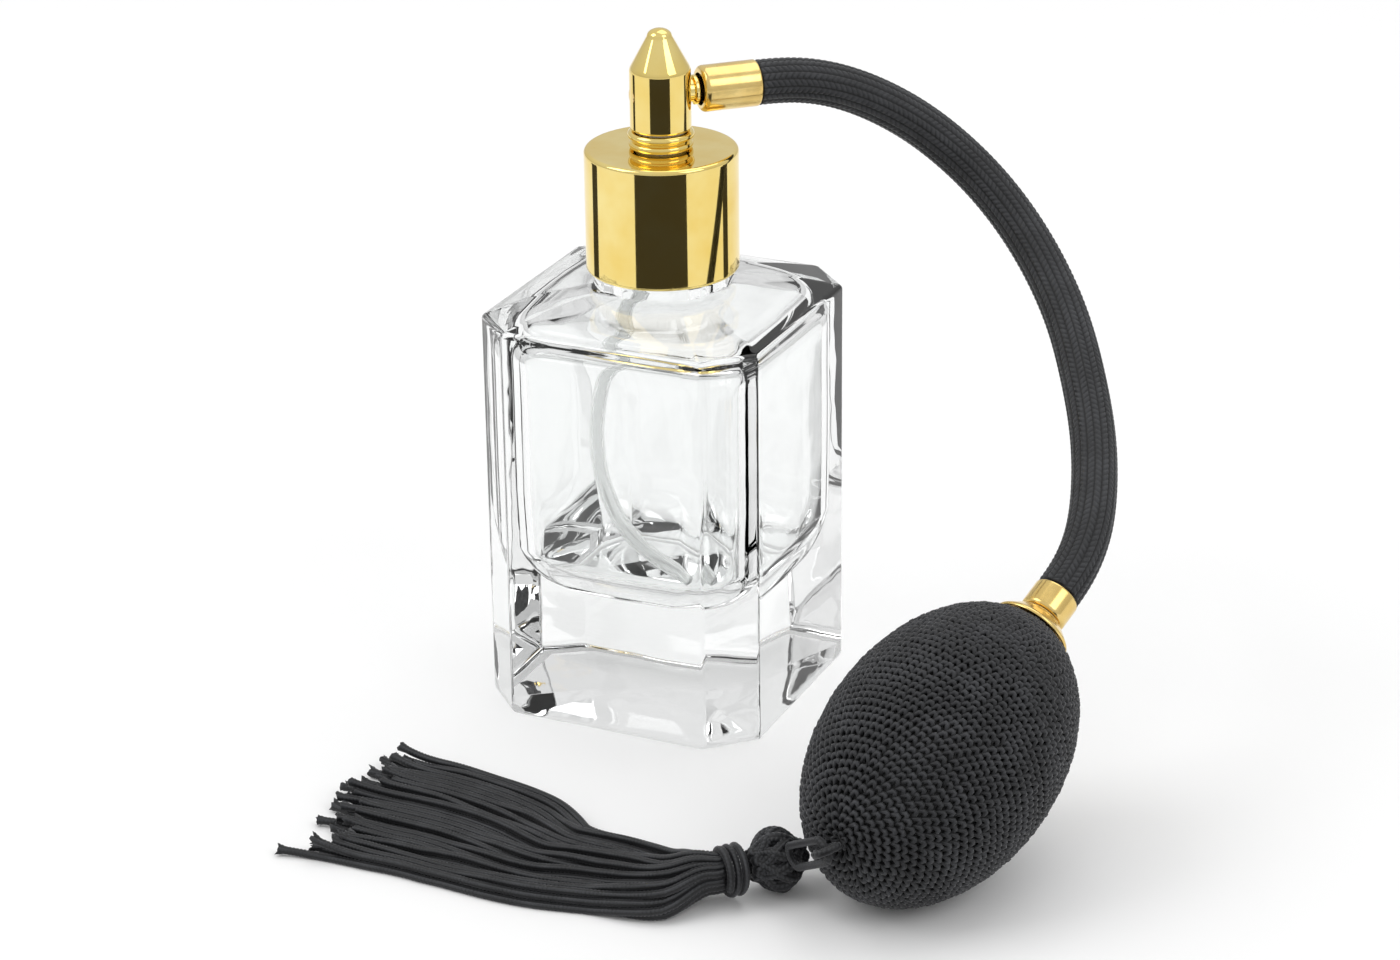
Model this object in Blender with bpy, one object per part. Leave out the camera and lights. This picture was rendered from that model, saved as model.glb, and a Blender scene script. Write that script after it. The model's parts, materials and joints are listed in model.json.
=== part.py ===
"""Perfume bottle with a bulb atomiser: a square glass bottle, a screw-on gilt head, a braided hose,
a net-covered rubber bulb and a cord tassel.

Metres, +Z up. The origin is the centre of the bottle's base, on the table. The bottle's wide front
face looks along -Y. Heights stack up from the base, so a change of one size moves all above it.
"""

import math

import bmesh
import bpy
import numpy as np
from mathutils import Vector

UP = Vector((0.0, 0.0, 1.0))

# Clearance between two pieces that touch.
GAP = 0.0003

# Glass bottle.
SIDE = 0.0440
CHAMFER = 0.00625
BODY_HEIGHT = 0.0613
WALL = 0.0044
BASE_THICKNESS = 0.0186
EDGE_ROUND = 0.0007
SHOULDER_RISE = 0.0030
SHOULDER_THICKNESS = 0.0026
CAVITY_ROUND = 0.0070
CAVITY_TOP_ROUND = 0.0032
CAVITY_SQUARENESS = 5.0
NECK_RING_RADIUS = 0.01015
NECK_RING_HEIGHT = 0.0018
NECK_RADIUS = 0.0076
NECK_WALL = 0.0016
NECK_LENGTH = 0.0130
THREAD_DEPTH = 0.0010
THREAD_PITCH = 0.0030
THREAD_TURNS = 1.5
THREAD_START = 0.0028

# Gasket, collar and its liner.
GASKET_THICKNESS = 0.0012
THREAD_CLEARANCE = 0.0004
LINER_WALL = 0.00135
LINER_TOP = 0.0012
LINER_LIFT = 0.0005
COLLAR_WALL = 0.0006
COLLAR_ROUND = 0.0005

# Spray head: a plastic core inside a gilt shell that stands on a stepped ring.
CORE_STEM_RADIUS = 0.00365
CORE_FLANGE_THICKNESS = 0.0012
FLANGE_CLEARANCE = 0.0008
SPIGOT_RADIUS = 0.0026
SPIGOT_LENGTH = 0.0069
CHANNEL_RADIUS = 0.0007
RISER_RADIUS = 0.0005
SHELL_WALL = 0.0005
FOOT_RING_HEIGHT = 0.0024
TOWER_HEIGHT = 0.0119
CONE_HEIGHT = 0.0048
TIP_RADIUS = 0.0018
TIP_RISE = 0.0011
PORT_HEIGHT = 0.0081
PORT_HEADING = math.radians(43.0)

# Spray jet and air nipple, both on the port's axis.
JET_RADIUS = 0.0009
JET_LENGTH = 0.00125
JET_HOLE = 0.00025
JET_RECESS = 0.0002
NIPPLE_RADIUS = 0.0017
NIPPLE_BORE = 0.0008
NIPPLE_ROOT = 0.0028
BARB_STEP = 0.0002
BARB_LENGTH = 0.0012

# Hose and its two ferrules.
HOSE_DIAMETER = 0.0066
FERRULE_STEP = 0.0001
FERRULE_WALL = 0.00035
FERRULE_END_HOLE = 0.0024
UPPER_FERRULE_START = 0.0059
UPPER_FERRULE_LENGTH = 0.0086
LOWER_FERRULE_LENGTH = 0.0042

# The route of the hose's centre line, from the upper ferrule to the lower one.
HOSE_ROUTE = (
    (0.0108, 0.0101, 0.0926),
    (0.0152, 0.0141, 0.0923),
    (0.0200, 0.0182, 0.0908),
    (0.0248, 0.0219, 0.0881),
    (0.0296, 0.0251, 0.0845),
    (0.0345, 0.0273, 0.0802),
    (0.0397, 0.0282, 0.0753),
    (0.0451, 0.0273, 0.0700),
    (0.0505, 0.0245, 0.0645),
    (0.0558, 0.0198, 0.0587),
    (0.0605, 0.0134, 0.0530),
    (0.0646, 0.0062, 0.0475),
    (0.0675, -0.0012, 0.0424),
    (0.0688, -0.0074, 0.0382),
    (0.0686, -0.0119, 0.0351),
    (0.0676, -0.0160, 0.0326),
)
HOSE_SPACING = 0.0066
HOSE_BEND_PLACE = (0.0451, 0.0273, 0.0700)

# Rubber bulb, its net cover and what is fixed at its two ends.
BULB_PLACE = (0.0602, -0.0418)
BULB_HALF_LENGTH = 0.0238
BULB_RADIUS = 0.01645
BULB_HEADING = math.radians(74.0)
BULB_TILT = math.radians(28.0)
NET_THICKNESS = 0.0006
RUBBER_WALL = 0.0015
STEM_STEP = 0.0007
CAP_RADIUS = 0.0058
CAP_WALL = 0.0005
CAP_RISE = 0.0026
INNER_FLANGE_RADIUS = 0.0050
INNER_FLANGE_THICKNESS = 0.0011
TAIL_TURN = math.radians(16.5)
TAIL_AXIS_TILT = math.radians(4.0)

# Check valves: a ball above a seat, free to lift a little.
BALL_RADIUS = 0.0012
SEAT_HOLE = 0.0007
SEAT_THICKNESS = 0.0009
BALL_LIFT = 0.0006
BALL_SIDE_ROOM = 0.0005
TAIL_VALVE_RADIUS = 0.0021
TAIL_BALL_RADIUS = 0.0010
TAIL_VALVE_LENGTH = 0.0046
TAIL_FLANGE_RADIUS = 0.0036
TAIL_FLANGE_THICKNESS = 0.0008
CAGE_THICKNESS = 0.0006

# Tassel.
EYE_RADIUS = 0.0016
CORD_RADIUS = 0.00055
TASSEL_HEAD_RADIUS = 0.0046
TASSEL_HEAD_PLACE = (0.0416, -0.0551)
TASSEL_HEADING = math.radians(229.0)
WRAP_RADIUS = 0.0037
WRAP_LENGTH = 0.0040
WRAP_ROUND = 0.0005
SKIRT_STATIONS = (
    # forward along the tassel's heading, sideways to its right, half width, thickness
    (0.0000, 0.0000, 0.0040, 0.0078),
    (0.0058, 0.0037, 0.0064, 0.0066),
    (0.0108, 0.0107, 0.0082, 0.0050),
    (0.0176, 0.0187, 0.0100, 0.0038),
    (0.0219, 0.0282, 0.0130, 0.0031),
    (0.0283, 0.0386, 0.0143, 0.0027),
    (0.0379, 0.0494, 0.0144, 0.0024),
)

# Dip tube, from its socket under the head to the front right corner of the cavity.
DIP_TUBE_RADIUS = 0.0012
DIP_TUBE_WALL = 0.00035
DIP_TUBE_SOCKET_DEPTH = 0.0062
DIP_TUBE_REACH = 0.62
DIP_TUBE_BOW = 0.0080

# Levels that follow from the sizes above.
NECK_RING_BASE = BODY_HEIGHT + SHOULDER_RISE
NECK_BASE = NECK_RING_BASE + NECK_RING_HEIGHT
LIP = NECK_BASE + NECK_LENGTH
NECK_BORE = NECK_RADIUS - NECK_WALL
GASKET_BASE = LIP + GAP
FLANGE_BASE = GASKET_BASE + GASKET_THICKNESS + GAP
LINER_CEILING = FLANGE_BASE + CORE_FLANGE_THICKNESS + GAP
COLLAR_CEILING = LINER_CEILING + LINER_TOP + GAP
COLLAR_TOP = COLLAR_CEILING + COLLAR_WALL
COLLAR_BASE = NECK_BASE + GAP
LINER_BORE = NECK_RADIUS + THREAD_DEPTH + THREAD_CLEARANCE
LINER_RADIUS = LINER_BORE + LINER_WALL
COLLAR_RADIUS = LINER_RADIUS + GAP + COLLAR_WALL
FLANGE_RADIUS = LINER_BORE - FLANGE_CLEARANCE
STEM_HOLE = CORE_STEM_RADIUS + GAP
TOWER_RADIUS = STEM_HOLE + SHELL_WALL
FOOT_RING_BASE = COLLAR_TOP + GAP
SHELL_BASE = FOOT_RING_BASE + FOOT_RING_HEIGHT + GAP
CONE_BASE = COLLAR_TOP + TOWER_HEIGHT
CONE_TOP = CONE_BASE + CONE_HEIGHT
PORT_LEVEL = COLLAR_TOP + PORT_HEIGHT
CAVITY_HALF = SIDE / 2 - WALL
CAVITY_CEILING = BODY_HEIGHT - SHOULDER_THICKNESS
SOCKET_RADIUS = DIP_TUBE_RADIUS + GAP
SPIGOT_END = FLANGE_BASE - SPIGOT_LENGTH
FERRULE_RADIUS = HOSE_DIAMETER / 2 + FERRULE_STEP
STEM_RADIUS = FERRULE_RADIUS - STEM_STEP
FERRULE_BORE = FERRULE_RADIUS - FERRULE_WALL
AIR_TUBE_OUTER = FERRULE_BORE - GAP
UPPER_FERRULE_END = UPPER_FERRULE_START + UPPER_FERRULE_LENGTH


def remove_everything():
    """Empty the scene that the file starts with."""
    for thing in list(bpy.data.objects):
        bpy.data.objects.remove(thing, do_unlink=True)


def finish(name, colour, roughness, metallic=0.0, transmission=0.0):
    """A Principled material of one colour."""
    made = bpy.data.materials.new(name)
    made.use_nodes = True
    shader = made.node_tree.nodes["Principled BSDF"]
    shader.inputs["Base Color"].default_value = (*colour, 1.0)
    shader.inputs["Roughness"].default_value = roughness
    shader.inputs["Metallic"].default_value = metallic
    shader.inputs["Transmission Weight"].default_value = transmission
    return made


def gilt(name):
    """Bright gold plate."""
    return finish(name, (0.83, 0.60, 0.17), 0.08, metallic=1.0)


def black_cord(name):
    """Matt black polyester cord."""
    return finish(name, (0.015, 0.016, 0.018), 0.85)


def add_object(name, data, material=None, parent=None):
    """Put data in the scene under a name, with its material and parent."""
    thing = bpy.data.objects.new(name, data)
    bpy.context.collection.objects.link(thing)
    if material is not None:
        data.materials.append(material)
    thing.parent = parent
    return thing


def pivot(name, place, heading=0.0, tilt=math.pi / 2, parent=None):
    """An empty whose local Z looks along a heading in plan and a tilt above the horizon."""
    thing = add_object(name, None, parent=parent)
    thing.location = place
    thing.rotation_euler = (0.0, math.pi / 2 - tilt, heading)
    return thing


def mesh_object(name, shape, material, parent=None):
    """Turn a finished bmesh into a smooth-shaded object."""
    bmesh.ops.recalc_face_normals(shape, faces=shape.faces)
    mesh = bpy.data.meshes.new(name)
    shape.to_mesh(mesh)
    shape.free()
    mesh.shade_smooth()
    mesh.set_sharp_from_angle(angle=math.radians(35.0))
    return add_object(name, mesh, material, parent)


def turned(name, outline, material, parent=None, steps=32):
    """Spin an outline of (radius, height) about local Z. It closes on itself or on the axis."""
    shape = bmesh.new()
    points = [shape.verts.new((radius, 0.0, height)) for radius, height in outline]
    on_axis = outline[0][0] == 0.0 and outline[-1][0] == 0.0
    followers = points[1:] if on_axis else points[1:] + points[:1]
    edges = [shape.edges.new(pair) for pair in zip(points, followers)]
    bmesh.ops.spin(
        shape, geom=points + edges, cent=(0, 0, 0), axis=(0, 0, 1), angle=math.tau, steps=steps
    )
    bmesh.ops.remove_doubles(shape, verts=shape.verts, dist=1e-6)
    return mesh_object(name, shape, material, parent)


def skinned(name, rings, material, parent=None):
    """A closed solid through rings of equally many points, with a flat cap on each end ring."""
    shape = bmesh.new()
    loops = [[shape.verts.new(point) for point in ring] for ring in rings]
    for lower, upper in zip(loops, loops[1:]):
        for here, there in zip(range(len(lower)), list(range(1, len(lower))) + [0]):
            shape.faces.new((lower[here], lower[there], upper[there], upper[here]))
    shape.faces.new(loops[0])
    shape.faces.new(loops[-1])
    return mesh_object(name, shape, material, parent)


def arc(centre, radius, start, end, steps):
    """Points of a round in an outline, in degrees from the outward direction."""
    angles = [math.radians(start + (end - start) * step / steps) for step in range(steps + 1)]
    return [(centre[0] + radius * math.cos(a), centre[1] + radius * math.sin(a)) for a in angles]


def combine(target, tool, operation):
    """Cut the tool out of the target, or join it on, and leave the tool as a guide."""
    change = target.modifiers.new(tool.name, "BOOLEAN")
    change.operation = operation
    change.solver = "EXACT"
    change.object = tool
    tool.hide_render = True
    tool.display_type = "WIRE"


def smooth_route(points, start, end, spacing):
    """Evenly spaced points of a curvature-continuous curve through the route's points."""
    knots = np.array(points)
    steps = np.linalg.norm(np.diff(knots, axis=0), axis=1)
    slopes = np.diff(knots, axis=0) / steps[:, None]
    system = np.eye(len(knots))
    wanted = np.zeros_like(knots)
    wanted[0] = start
    wanted[-1] = end
    for i in range(1, len(knots) - 1):
        system[i, i - 1] = steps[i]
        system[i, i] = 2 * (steps[i - 1] + steps[i])
        system[i, i + 1] = steps[i - 1]
        wanted[i] = 3 * (steps[i] * slopes[i - 1] + steps[i - 1] * slopes[i])
    tangents = np.linalg.solve(system, wanted)
    fine = [knots[0]]
    for i, step in enumerate(steps):
        for t in np.linspace(0.0, 1.0, 25)[1:]:
            fine.append(
                knots[i] * (2 * t**3 - 3 * t**2 + 1)
                + tangents[i] * step * (t**3 - 2 * t**2 + t)
                + knots[i + 1] * (3 * t**2 - 2 * t**3)
                + tangents[i + 1] * step * (t**3 - t**2)
            )
    fine = np.array(fine)
    travelled = np.concatenate([[0], np.cumsum(np.linalg.norm(np.diff(fine, axis=0), axis=1))])
    count = max(2, round(travelled[-1] / spacing) + 1)
    stops = np.linspace(0.0, travelled[-1], count)
    return [tuple(np.interp(stops, travelled, fine[:, k])[i] for k in range(3)) for i in range(count)]


def cord_object(name, points, radius, material, resolution, closed=False, parent=None, caps=True):
    """A round cord or tube along points, as a curve with a bevel."""
    curve = bpy.data.curves.new(name, "CURVE")
    curve.dimensions = "3D"
    curve.bevel_depth = radius
    curve.bevel_resolution = resolution
    curve.use_fill_caps = caps
    line = curve.splines.new("POLY")
    line.points.add(len(points) - 1)
    for point, place in zip(line.points, points):
        point.co = (*place, 1.0)
    line.use_cyclic_u = closed
    line.use_smooth = True
    return add_object(name, curve, material, parent)


def direction(heading, tilt):
    """The unit vector at a heading in plan and a tilt above the horizon."""
    flat = math.cos(tilt)
    return Vector((flat * math.cos(heading), flat * math.sin(heading), math.sin(tilt)))


def plan_of_body(half, chamfer):
    """The bottle's chamfered square outline, evenly split along its sides."""
    flat = half - chamfer
    corners = [(half, -flat), (half, flat), (flat, half), (-flat, half)]
    corners += [(-half, flat), (-half, -flat), (-flat, -half), (flat, -half)]
    points = []
    for i, (here, there) in enumerate(zip(corners, corners[1:] + corners[:1])):
        splits = 6 if i % 2 == 0 else 2
        for step in range(splits):
            share = step / splits
            across = here[0] + (there[0] - here[0]) * share
            along = here[1] + (there[1] - here[1]) * share
            points.append((across, along))
    return points


def ring_at(height, plan):
    """A plan outline lifted to a height."""
    return [(x, y, height) for x, y in plan]


def round_plan(radius, squareness=2.0):
    """A circle, or with more squareness a soft square, at the headings of the body's outline."""
    points = []
    for x, y in plan_of_body(SIDE / 2, CHAMFER):
        angle = math.atan2(y, x)
        spread = abs(math.cos(angle)) ** squareness + abs(math.sin(angle)) ** squareness
        reach = radius / spread ** (1 / squareness)
        points.append((reach * math.cos(angle), reach * math.sin(angle)))
    return points


def blended_plan(first, second, share):
    """The plan that lies a share of the way from the first to the second."""
    pairs = zip(first, second)
    return [(a[0] + (b[0] - a[0]) * share, a[1] + (b[1] - a[1]) * share) for a, b in pairs]


def build_bottle():
    """The glass bottle, one skin from the base up to the lip and down inside to the thick floor."""
    half = SIDE / 2
    foot = plan_of_body(half - EDGE_ROUND, CHAMFER)
    body = plan_of_body(half, CHAMFER)
    step = round_plan(NECK_RING_RADIUS)
    rings = [ring_at(0.0, foot), ring_at(EDGE_ROUND * 0.3, blended_plan(foot, body, 0.7))]
    rings += [ring_at(EDGE_ROUND, body), ring_at(BODY_HEIGHT - EDGE_ROUND, body)]
    rings.append(ring_at(BODY_HEIGHT - EDGE_ROUND * 0.3, blended_plan(foot, body, 0.7)))
    for share in (0.0, 0.3, 0.6, 0.85, 1.0):
        height = BODY_HEIGHT + SHOULDER_RISE * (1 - (1 - share) ** 1.6)
        rings.append(ring_at(height, blended_plan(foot, step, share)))
    rings.append(ring_at(NECK_BASE, step))
    rings.append(ring_at(NECK_BASE, round_plan(NECK_RADIUS)))
    lip_round = NECK_WALL * 0.25
    rings.append(ring_at(LIP - lip_round, round_plan(NECK_RADIUS)))
    rings.append(ring_at(LIP, round_plan(NECK_RADIUS - lip_round)))
    rings.append(ring_at(LIP, round_plan(NECK_BORE + lip_round)))
    rings.append(ring_at(LIP - lip_round, round_plan(NECK_BORE)))
    rings.append(ring_at(CAVITY_CEILING + CAVITY_TOP_ROUND * 0.8, round_plan(NECK_BORE)))
    room = CAVITY_HALF - NECK_BORE
    for share, drop, squareness in ((0.06, -0.45, 2.0), (0.28, -0.2, 2.4), (0.62, 0.05, 3.2)):
        plan = round_plan(NECK_BORE + room * share, squareness)
        rings.append(ring_at(CAVITY_CEILING - CAVITY_TOP_ROUND * drop, plan))
    for share, drop in ((0.88, 0.35), (0.97, 0.7), (1.0, 1.1)):
        plan = round_plan(NECK_BORE + room * share, CAVITY_SQUARENESS)
        rings.append(ring_at(CAVITY_CEILING - CAVITY_TOP_ROUND * drop, plan))
    for inset, rise in ((0.0, 1.2), (0.12, 0.62), (0.4, 0.22), (0.9, 0.04), (1.5, 0.0)):
        plan = round_plan(CAVITY_HALF - CAVITY_ROUND * inset, CAVITY_SQUARENESS)
        rings.append(ring_at(BASE_THICKNESS + CAVITY_ROUND * rise, plan))
    glass = finish("clear_glass", (0.95, 0.97, 0.97), 0.02, transmission=1.0)
    bottle = skinned("bottle", rings, glass)
    combine(bottle, neck_thread(), "UNION")
    return bottle


def neck_thread():
    """The screw thread round the neck: a ridge that fades out at both ends."""
    steps = round(THREAD_TURNS * 24)
    rings = []
    for step in range(steps + 1):
        turn = math.tau * THREAD_TURNS * step / steps
        fade = min(1.0, 8 * step / steps, 8 * (steps - step) / steps)
        crest = NECK_RADIUS + THREAD_DEPTH * (0.15 + 0.85 * fade)
        root = NECK_RADIUS - NECK_WALL * 0.4
        level = NECK_BASE + THREAD_START + THREAD_PITCH * turn / math.tau
        section = ((root, -0.0008), (crest, -0.0003), (crest, 0.0003), (root, 0.0008))
        around = (math.cos(turn), math.sin(turn))
        rings.append([(r * around[0], r * around[1], level + z) for r, z in section])
    return skinned("neck_thread_guide", rings, finish("thread_guide", (0.9, 0.9, 0.9), 0.1))


def build_gasket():
    """The soft washer between the bottle's lip and the head's flange."""
    outer = NECK_RADIUS + GAP
    top = GASKET_BASE + GASKET_THICKNESS
    outline = [(NECK_BORE, GASKET_BASE), (outer, GASKET_BASE), (outer, top), (NECK_BORE, top)]
    return turned("neck_gasket", outline, finish("gasket", (0.75, 0.75, 0.72), 0.6))


def build_collar():
    """The gilt collar and the plastic liner pressed inside it."""
    shoulder = (COLLAR_RADIUS - COLLAR_ROUND, COLLAR_TOP - COLLAR_ROUND)
    outline = [(STEM_HOLE, COLLAR_CEILING), (STEM_HOLE, COLLAR_TOP)]
    outline += arc(shoulder, COLLAR_ROUND, 90, 0, 3)
    outline += [(COLLAR_RADIUS, COLLAR_BASE + COLLAR_WALL * 0.5)]
    outline += [(COLLAR_RADIUS - COLLAR_WALL * 0.3, COLLAR_BASE)]
    outline += [(COLLAR_RADIUS - COLLAR_WALL, COLLAR_BASE)]
    outline += [(COLLAR_RADIUS - COLLAR_WALL, COLLAR_CEILING)]
    turned("collar_shell", outline, gilt("collar_gilt"), steps=48)
    base = COLLAR_BASE + LINER_LIFT
    top = LINER_CEILING + LINER_TOP
    outline = [(STEM_HOLE, LINER_CEILING), (STEM_HOLE, top), (LINER_RADIUS, top)]
    outline += [(LINER_RADIUS, base), (LINER_BORE, base), (LINER_BORE, LINER_CEILING)]
    turned("collar_liner", outline, finish("liner", (0.9, 0.9, 0.88), 0.45), steps=40)


def build_head(port):
    """The core with its channels, the shell over it and the ring it stands on."""
    socket_top = SPIGOT_END + DIP_TUBE_SOCKET_DEPTH + GAP
    inner_cone = TIP_RADIUS - SHELL_WALL * 0.6
    outline = [(0.0, PORT_LEVEL), (RISER_RADIUS, PORT_LEVEL), (RISER_RADIUS, socket_top)]
    outline += [(SOCKET_RADIUS, socket_top), (SOCKET_RADIUS, SPIGOT_END)]
    outline += [(SPIGOT_RADIUS, SPIGOT_END), (SPIGOT_RADIUS, FLANGE_BASE)]
    outline += [(FLANGE_RADIUS, FLANGE_BASE), (FLANGE_RADIUS, FLANGE_BASE + CORE_FLANGE_THICKNESS)]
    outline += [(CORE_STEM_RADIUS, FLANGE_BASE + CORE_FLANGE_THICKNESS)]
    outline += [(CORE_STEM_RADIUS, CONE_BASE - GAP)]
    outline += [(inner_cone - GAP, CONE_TOP - 2 * GAP), (0.0, CONE_TOP - GAP)]
    core = turned("head_core", outline, finish("core", (0.88, 0.88, 0.86), 0.4))
    outline = [(0.0, CONE_TOP + TIP_RISE - SHELL_WALL), (inner_cone, CONE_TOP)]
    outline += [(STEM_HOLE, CONE_BASE), (STEM_HOLE, SHELL_BASE), (TOWER_RADIUS, SHELL_BASE)]
    outline += [(TOWER_RADIUS, CONE_BASE - 0.0002), (TOWER_RADIUS - 0.0001, CONE_BASE + 0.0002)]
    for angle in (0, 30, 60, 90):
        across = TIP_RADIUS * math.cos(math.radians(angle))
        up = TIP_RISE * math.sin(math.radians(angle))
        outline.append((across if angle < 90 else 0.0, CONE_TOP + up))
    shell = turned("head_shell", outline, gilt("shell_gilt"))
    base = FOOT_RING_BASE
    bead = FOOT_RING_HEIGHT
    outline = [(STEM_HOLE, base), (TOWER_RADIUS + 0.0002, base)]
    outline += [(TOWER_RADIUS + 0.00025, base + bead * 0.3), (TOWER_RADIUS - 0.0001, base + bead * 0.4)]
    outline += [(TOWER_RADIUS - 0.0001, base + bead * 0.54), (TOWER_RADIUS + 0.0003, base + bead * 0.62)]
    outline += [(TOWER_RADIUS + 0.0004, base + bead * 0.76), (TOWER_RADIUS + 0.0003, base + bead * 0.9)]
    outline += [(TOWER_RADIUS, base + bead), (STEM_HOLE, base + bead)]
    turned("foot_ring", outline, gilt("foot_ring_gilt"))

    reach = TOWER_RADIUS * 1.5
    jet_end = JET_RECESS + JET_LENGTH + GAP - TOWER_RADIUS
    channel = drill("channel_guide", CHANNEL_RADIUS, jet_end - GAP, NIPPLE_ROOT, port, steps=14)
    nipple_pocket = drill("nipple_pocket_guide", NIPPLE_RADIUS + GAP, NIPPLE_ROOT - GAP, reach, port)
    jet_pocket = drill("jet_pocket_guide", JET_RADIUS + GAP, -reach, jet_end, port)
    combine(core, channel, "DIFFERENCE")
    for guide in (nipple_pocket, jet_pocket):
        combine(core, guide, "DIFFERENCE")
        combine(shell, guide, "DIFFERENCE")


def drill(name, radius, low, high, parent, steps=24):
    """A plain round cutter along its parent's Z, from one height to another."""
    outline = [(0.0, low), (radius, low), (radius, high), (0.0, high)]
    return turned(name, outline, finish(name, (0.5, 0.5, 0.5), 0.5), parent, steps)


def ring_outline(inner, outer, low, high):
    """The outline of a plain ring."""
    return [(inner, low), (outer, low), (outer, high), (inner, high)]


def build_port(port):
    """The spray jet, the air nipple, the upper ferrule and the end of the air tube inside it."""
    jet_face = -TOWER_RADIUS + JET_RECESS
    outline = ring_outline(JET_HOLE, JET_RADIUS, jet_face, jet_face + JET_LENGTH)
    turned("nozzle_insert", outline, gilt("jet_gilt"), port, steps=24)
    tip = UPPER_FERRULE_END - BARB_LENGTH
    outline = [(NIPPLE_BORE, NIPPLE_ROOT), (NIPPLE_RADIUS, NIPPLE_ROOT)]
    outline += barbs(NIPPLE_RADIUS, tip)
    outline += [(NIPPLE_BORE, tip)]
    turned("port_nipple", outline, gilt("nipple_gilt"), port, steps=24)
    ferrule("upper_ferrule", UPPER_FERRULE_START, UPPER_FERRULE_LENGTH, FERRULE_END_HOLE, port)
    tube_start = UPPER_FERRULE_START + FERRULE_WALL + GAP
    tube_end("upper_tube_end", tube_start, UPPER_FERRULE_END - GAP, port)


def barbs(radius, tip):
    """Two barbs at the tip of a nipple, as outline points from the root to the tip."""
    points = []
    for back in (2, 1):
        start = tip - back * BARB_LENGTH
        points += [(radius, start), (radius + BARB_STEP, start + 0.0001)]
    return points + [(radius, tip)]


def ferrule(name, start, length, end_hole, parent):
    """A drawn gilt ferrule: a thin tube with a rounded, inward-turned end at its start."""
    curl = FERRULE_WALL * 2
    corner = (FERRULE_RADIUS - curl, start + curl)
    outline = [(end_hole, start + FERRULE_WALL), (end_hole, start)]
    outline += arc(corner, curl, -90, 0, 3)
    outline += [(FERRULE_RADIUS, start + length), (FERRULE_BORE, start + length)]
    outline += [(FERRULE_BORE, start + FERRULE_WALL + curl * 0.5)]
    outline += [(FERRULE_BORE - curl * 0.5, start + FERRULE_WALL)]
    return turned(name, outline, gilt(name + "_gilt"), parent, steps=28)


def tube_end(name, start, end, parent):
    """The end of the rubber air tube that runs inside the braid, pushed over a nipple's barbs."""
    bore = NIPPLE_RADIUS + BARB_STEP + 0.0001
    rubber = finish(name + "_rubber", (0.03, 0.03, 0.03), 0.7)
    return turned(name, ring_outline(bore, AIR_TUBE_OUTER, start, end), rubber, parent, steps=24)


def build_hose():
    """The braided hose, a free hose laid along its chosen route."""
    start = direction(PORT_HEADING, 0.0)
    end = -direction(BULB_HEADING, BULB_TILT)
    points = smooth_route(HOSE_ROUTE, start, end, HOSE_SPACING)
    cord_object("hose", points, HOSE_DIAMETER / 2, black_cord("hose_braid"), 4)


def egg(radius, half_length, away_from_axis):
    """The distance along the bulb's axis at which its skin is this far from the axis."""
    return half_length * math.sqrt(1 - (away_from_axis / radius) ** 2)


def shell_outline(radius, half_length, wall, hole, steps=14):
    """The outline of an egg-shaped shell that is open at its neck and closed at its tail."""
    outline = []
    for inset, order in ((0.0, 1), (wall, -1)):
        across, along = radius - inset, half_length - inset
        top = math.acos(egg(across, along, hole) / along)
        side = []
        for step in range(steps + 1):
            angle = top + (math.pi - top) * step / steps
            around = across * math.sin(angle) if step < steps else 0.0
            side.append((around, along * math.cos(angle)))
        outline += side[::order]
    return outline[steps::-1] + outline[:steps:-1]


def build_bulb(axis, tail):
    """The rubber bulb and the net that covers it."""
    hole = STEM_RADIUS + GAP
    inset = NET_THICKNESS + GAP
    outline = shell_outline(BULB_RADIUS, BULB_HALF_LENGTH, NET_THICKNESS, hole)
    turned("bulb_net", outline, black_cord("net_cord"), axis, steps=28)
    outline = shell_outline(BULB_RADIUS - inset, BULB_HALF_LENGTH - inset, RUBBER_WALL, hole)
    rubber = finish("bulb_rubber", (0.02, 0.02, 0.02), 0.6)
    bulb = turned("rubber_bulb", outline, rubber, axis, steps=28)
    hole = TAIL_VALVE_RADIUS + GAP
    combine(bulb, drill("tail_hole_guide", hole, -inset - 3 * RUBBER_WALL, inset, tail), "DIFFERENCE")


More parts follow.
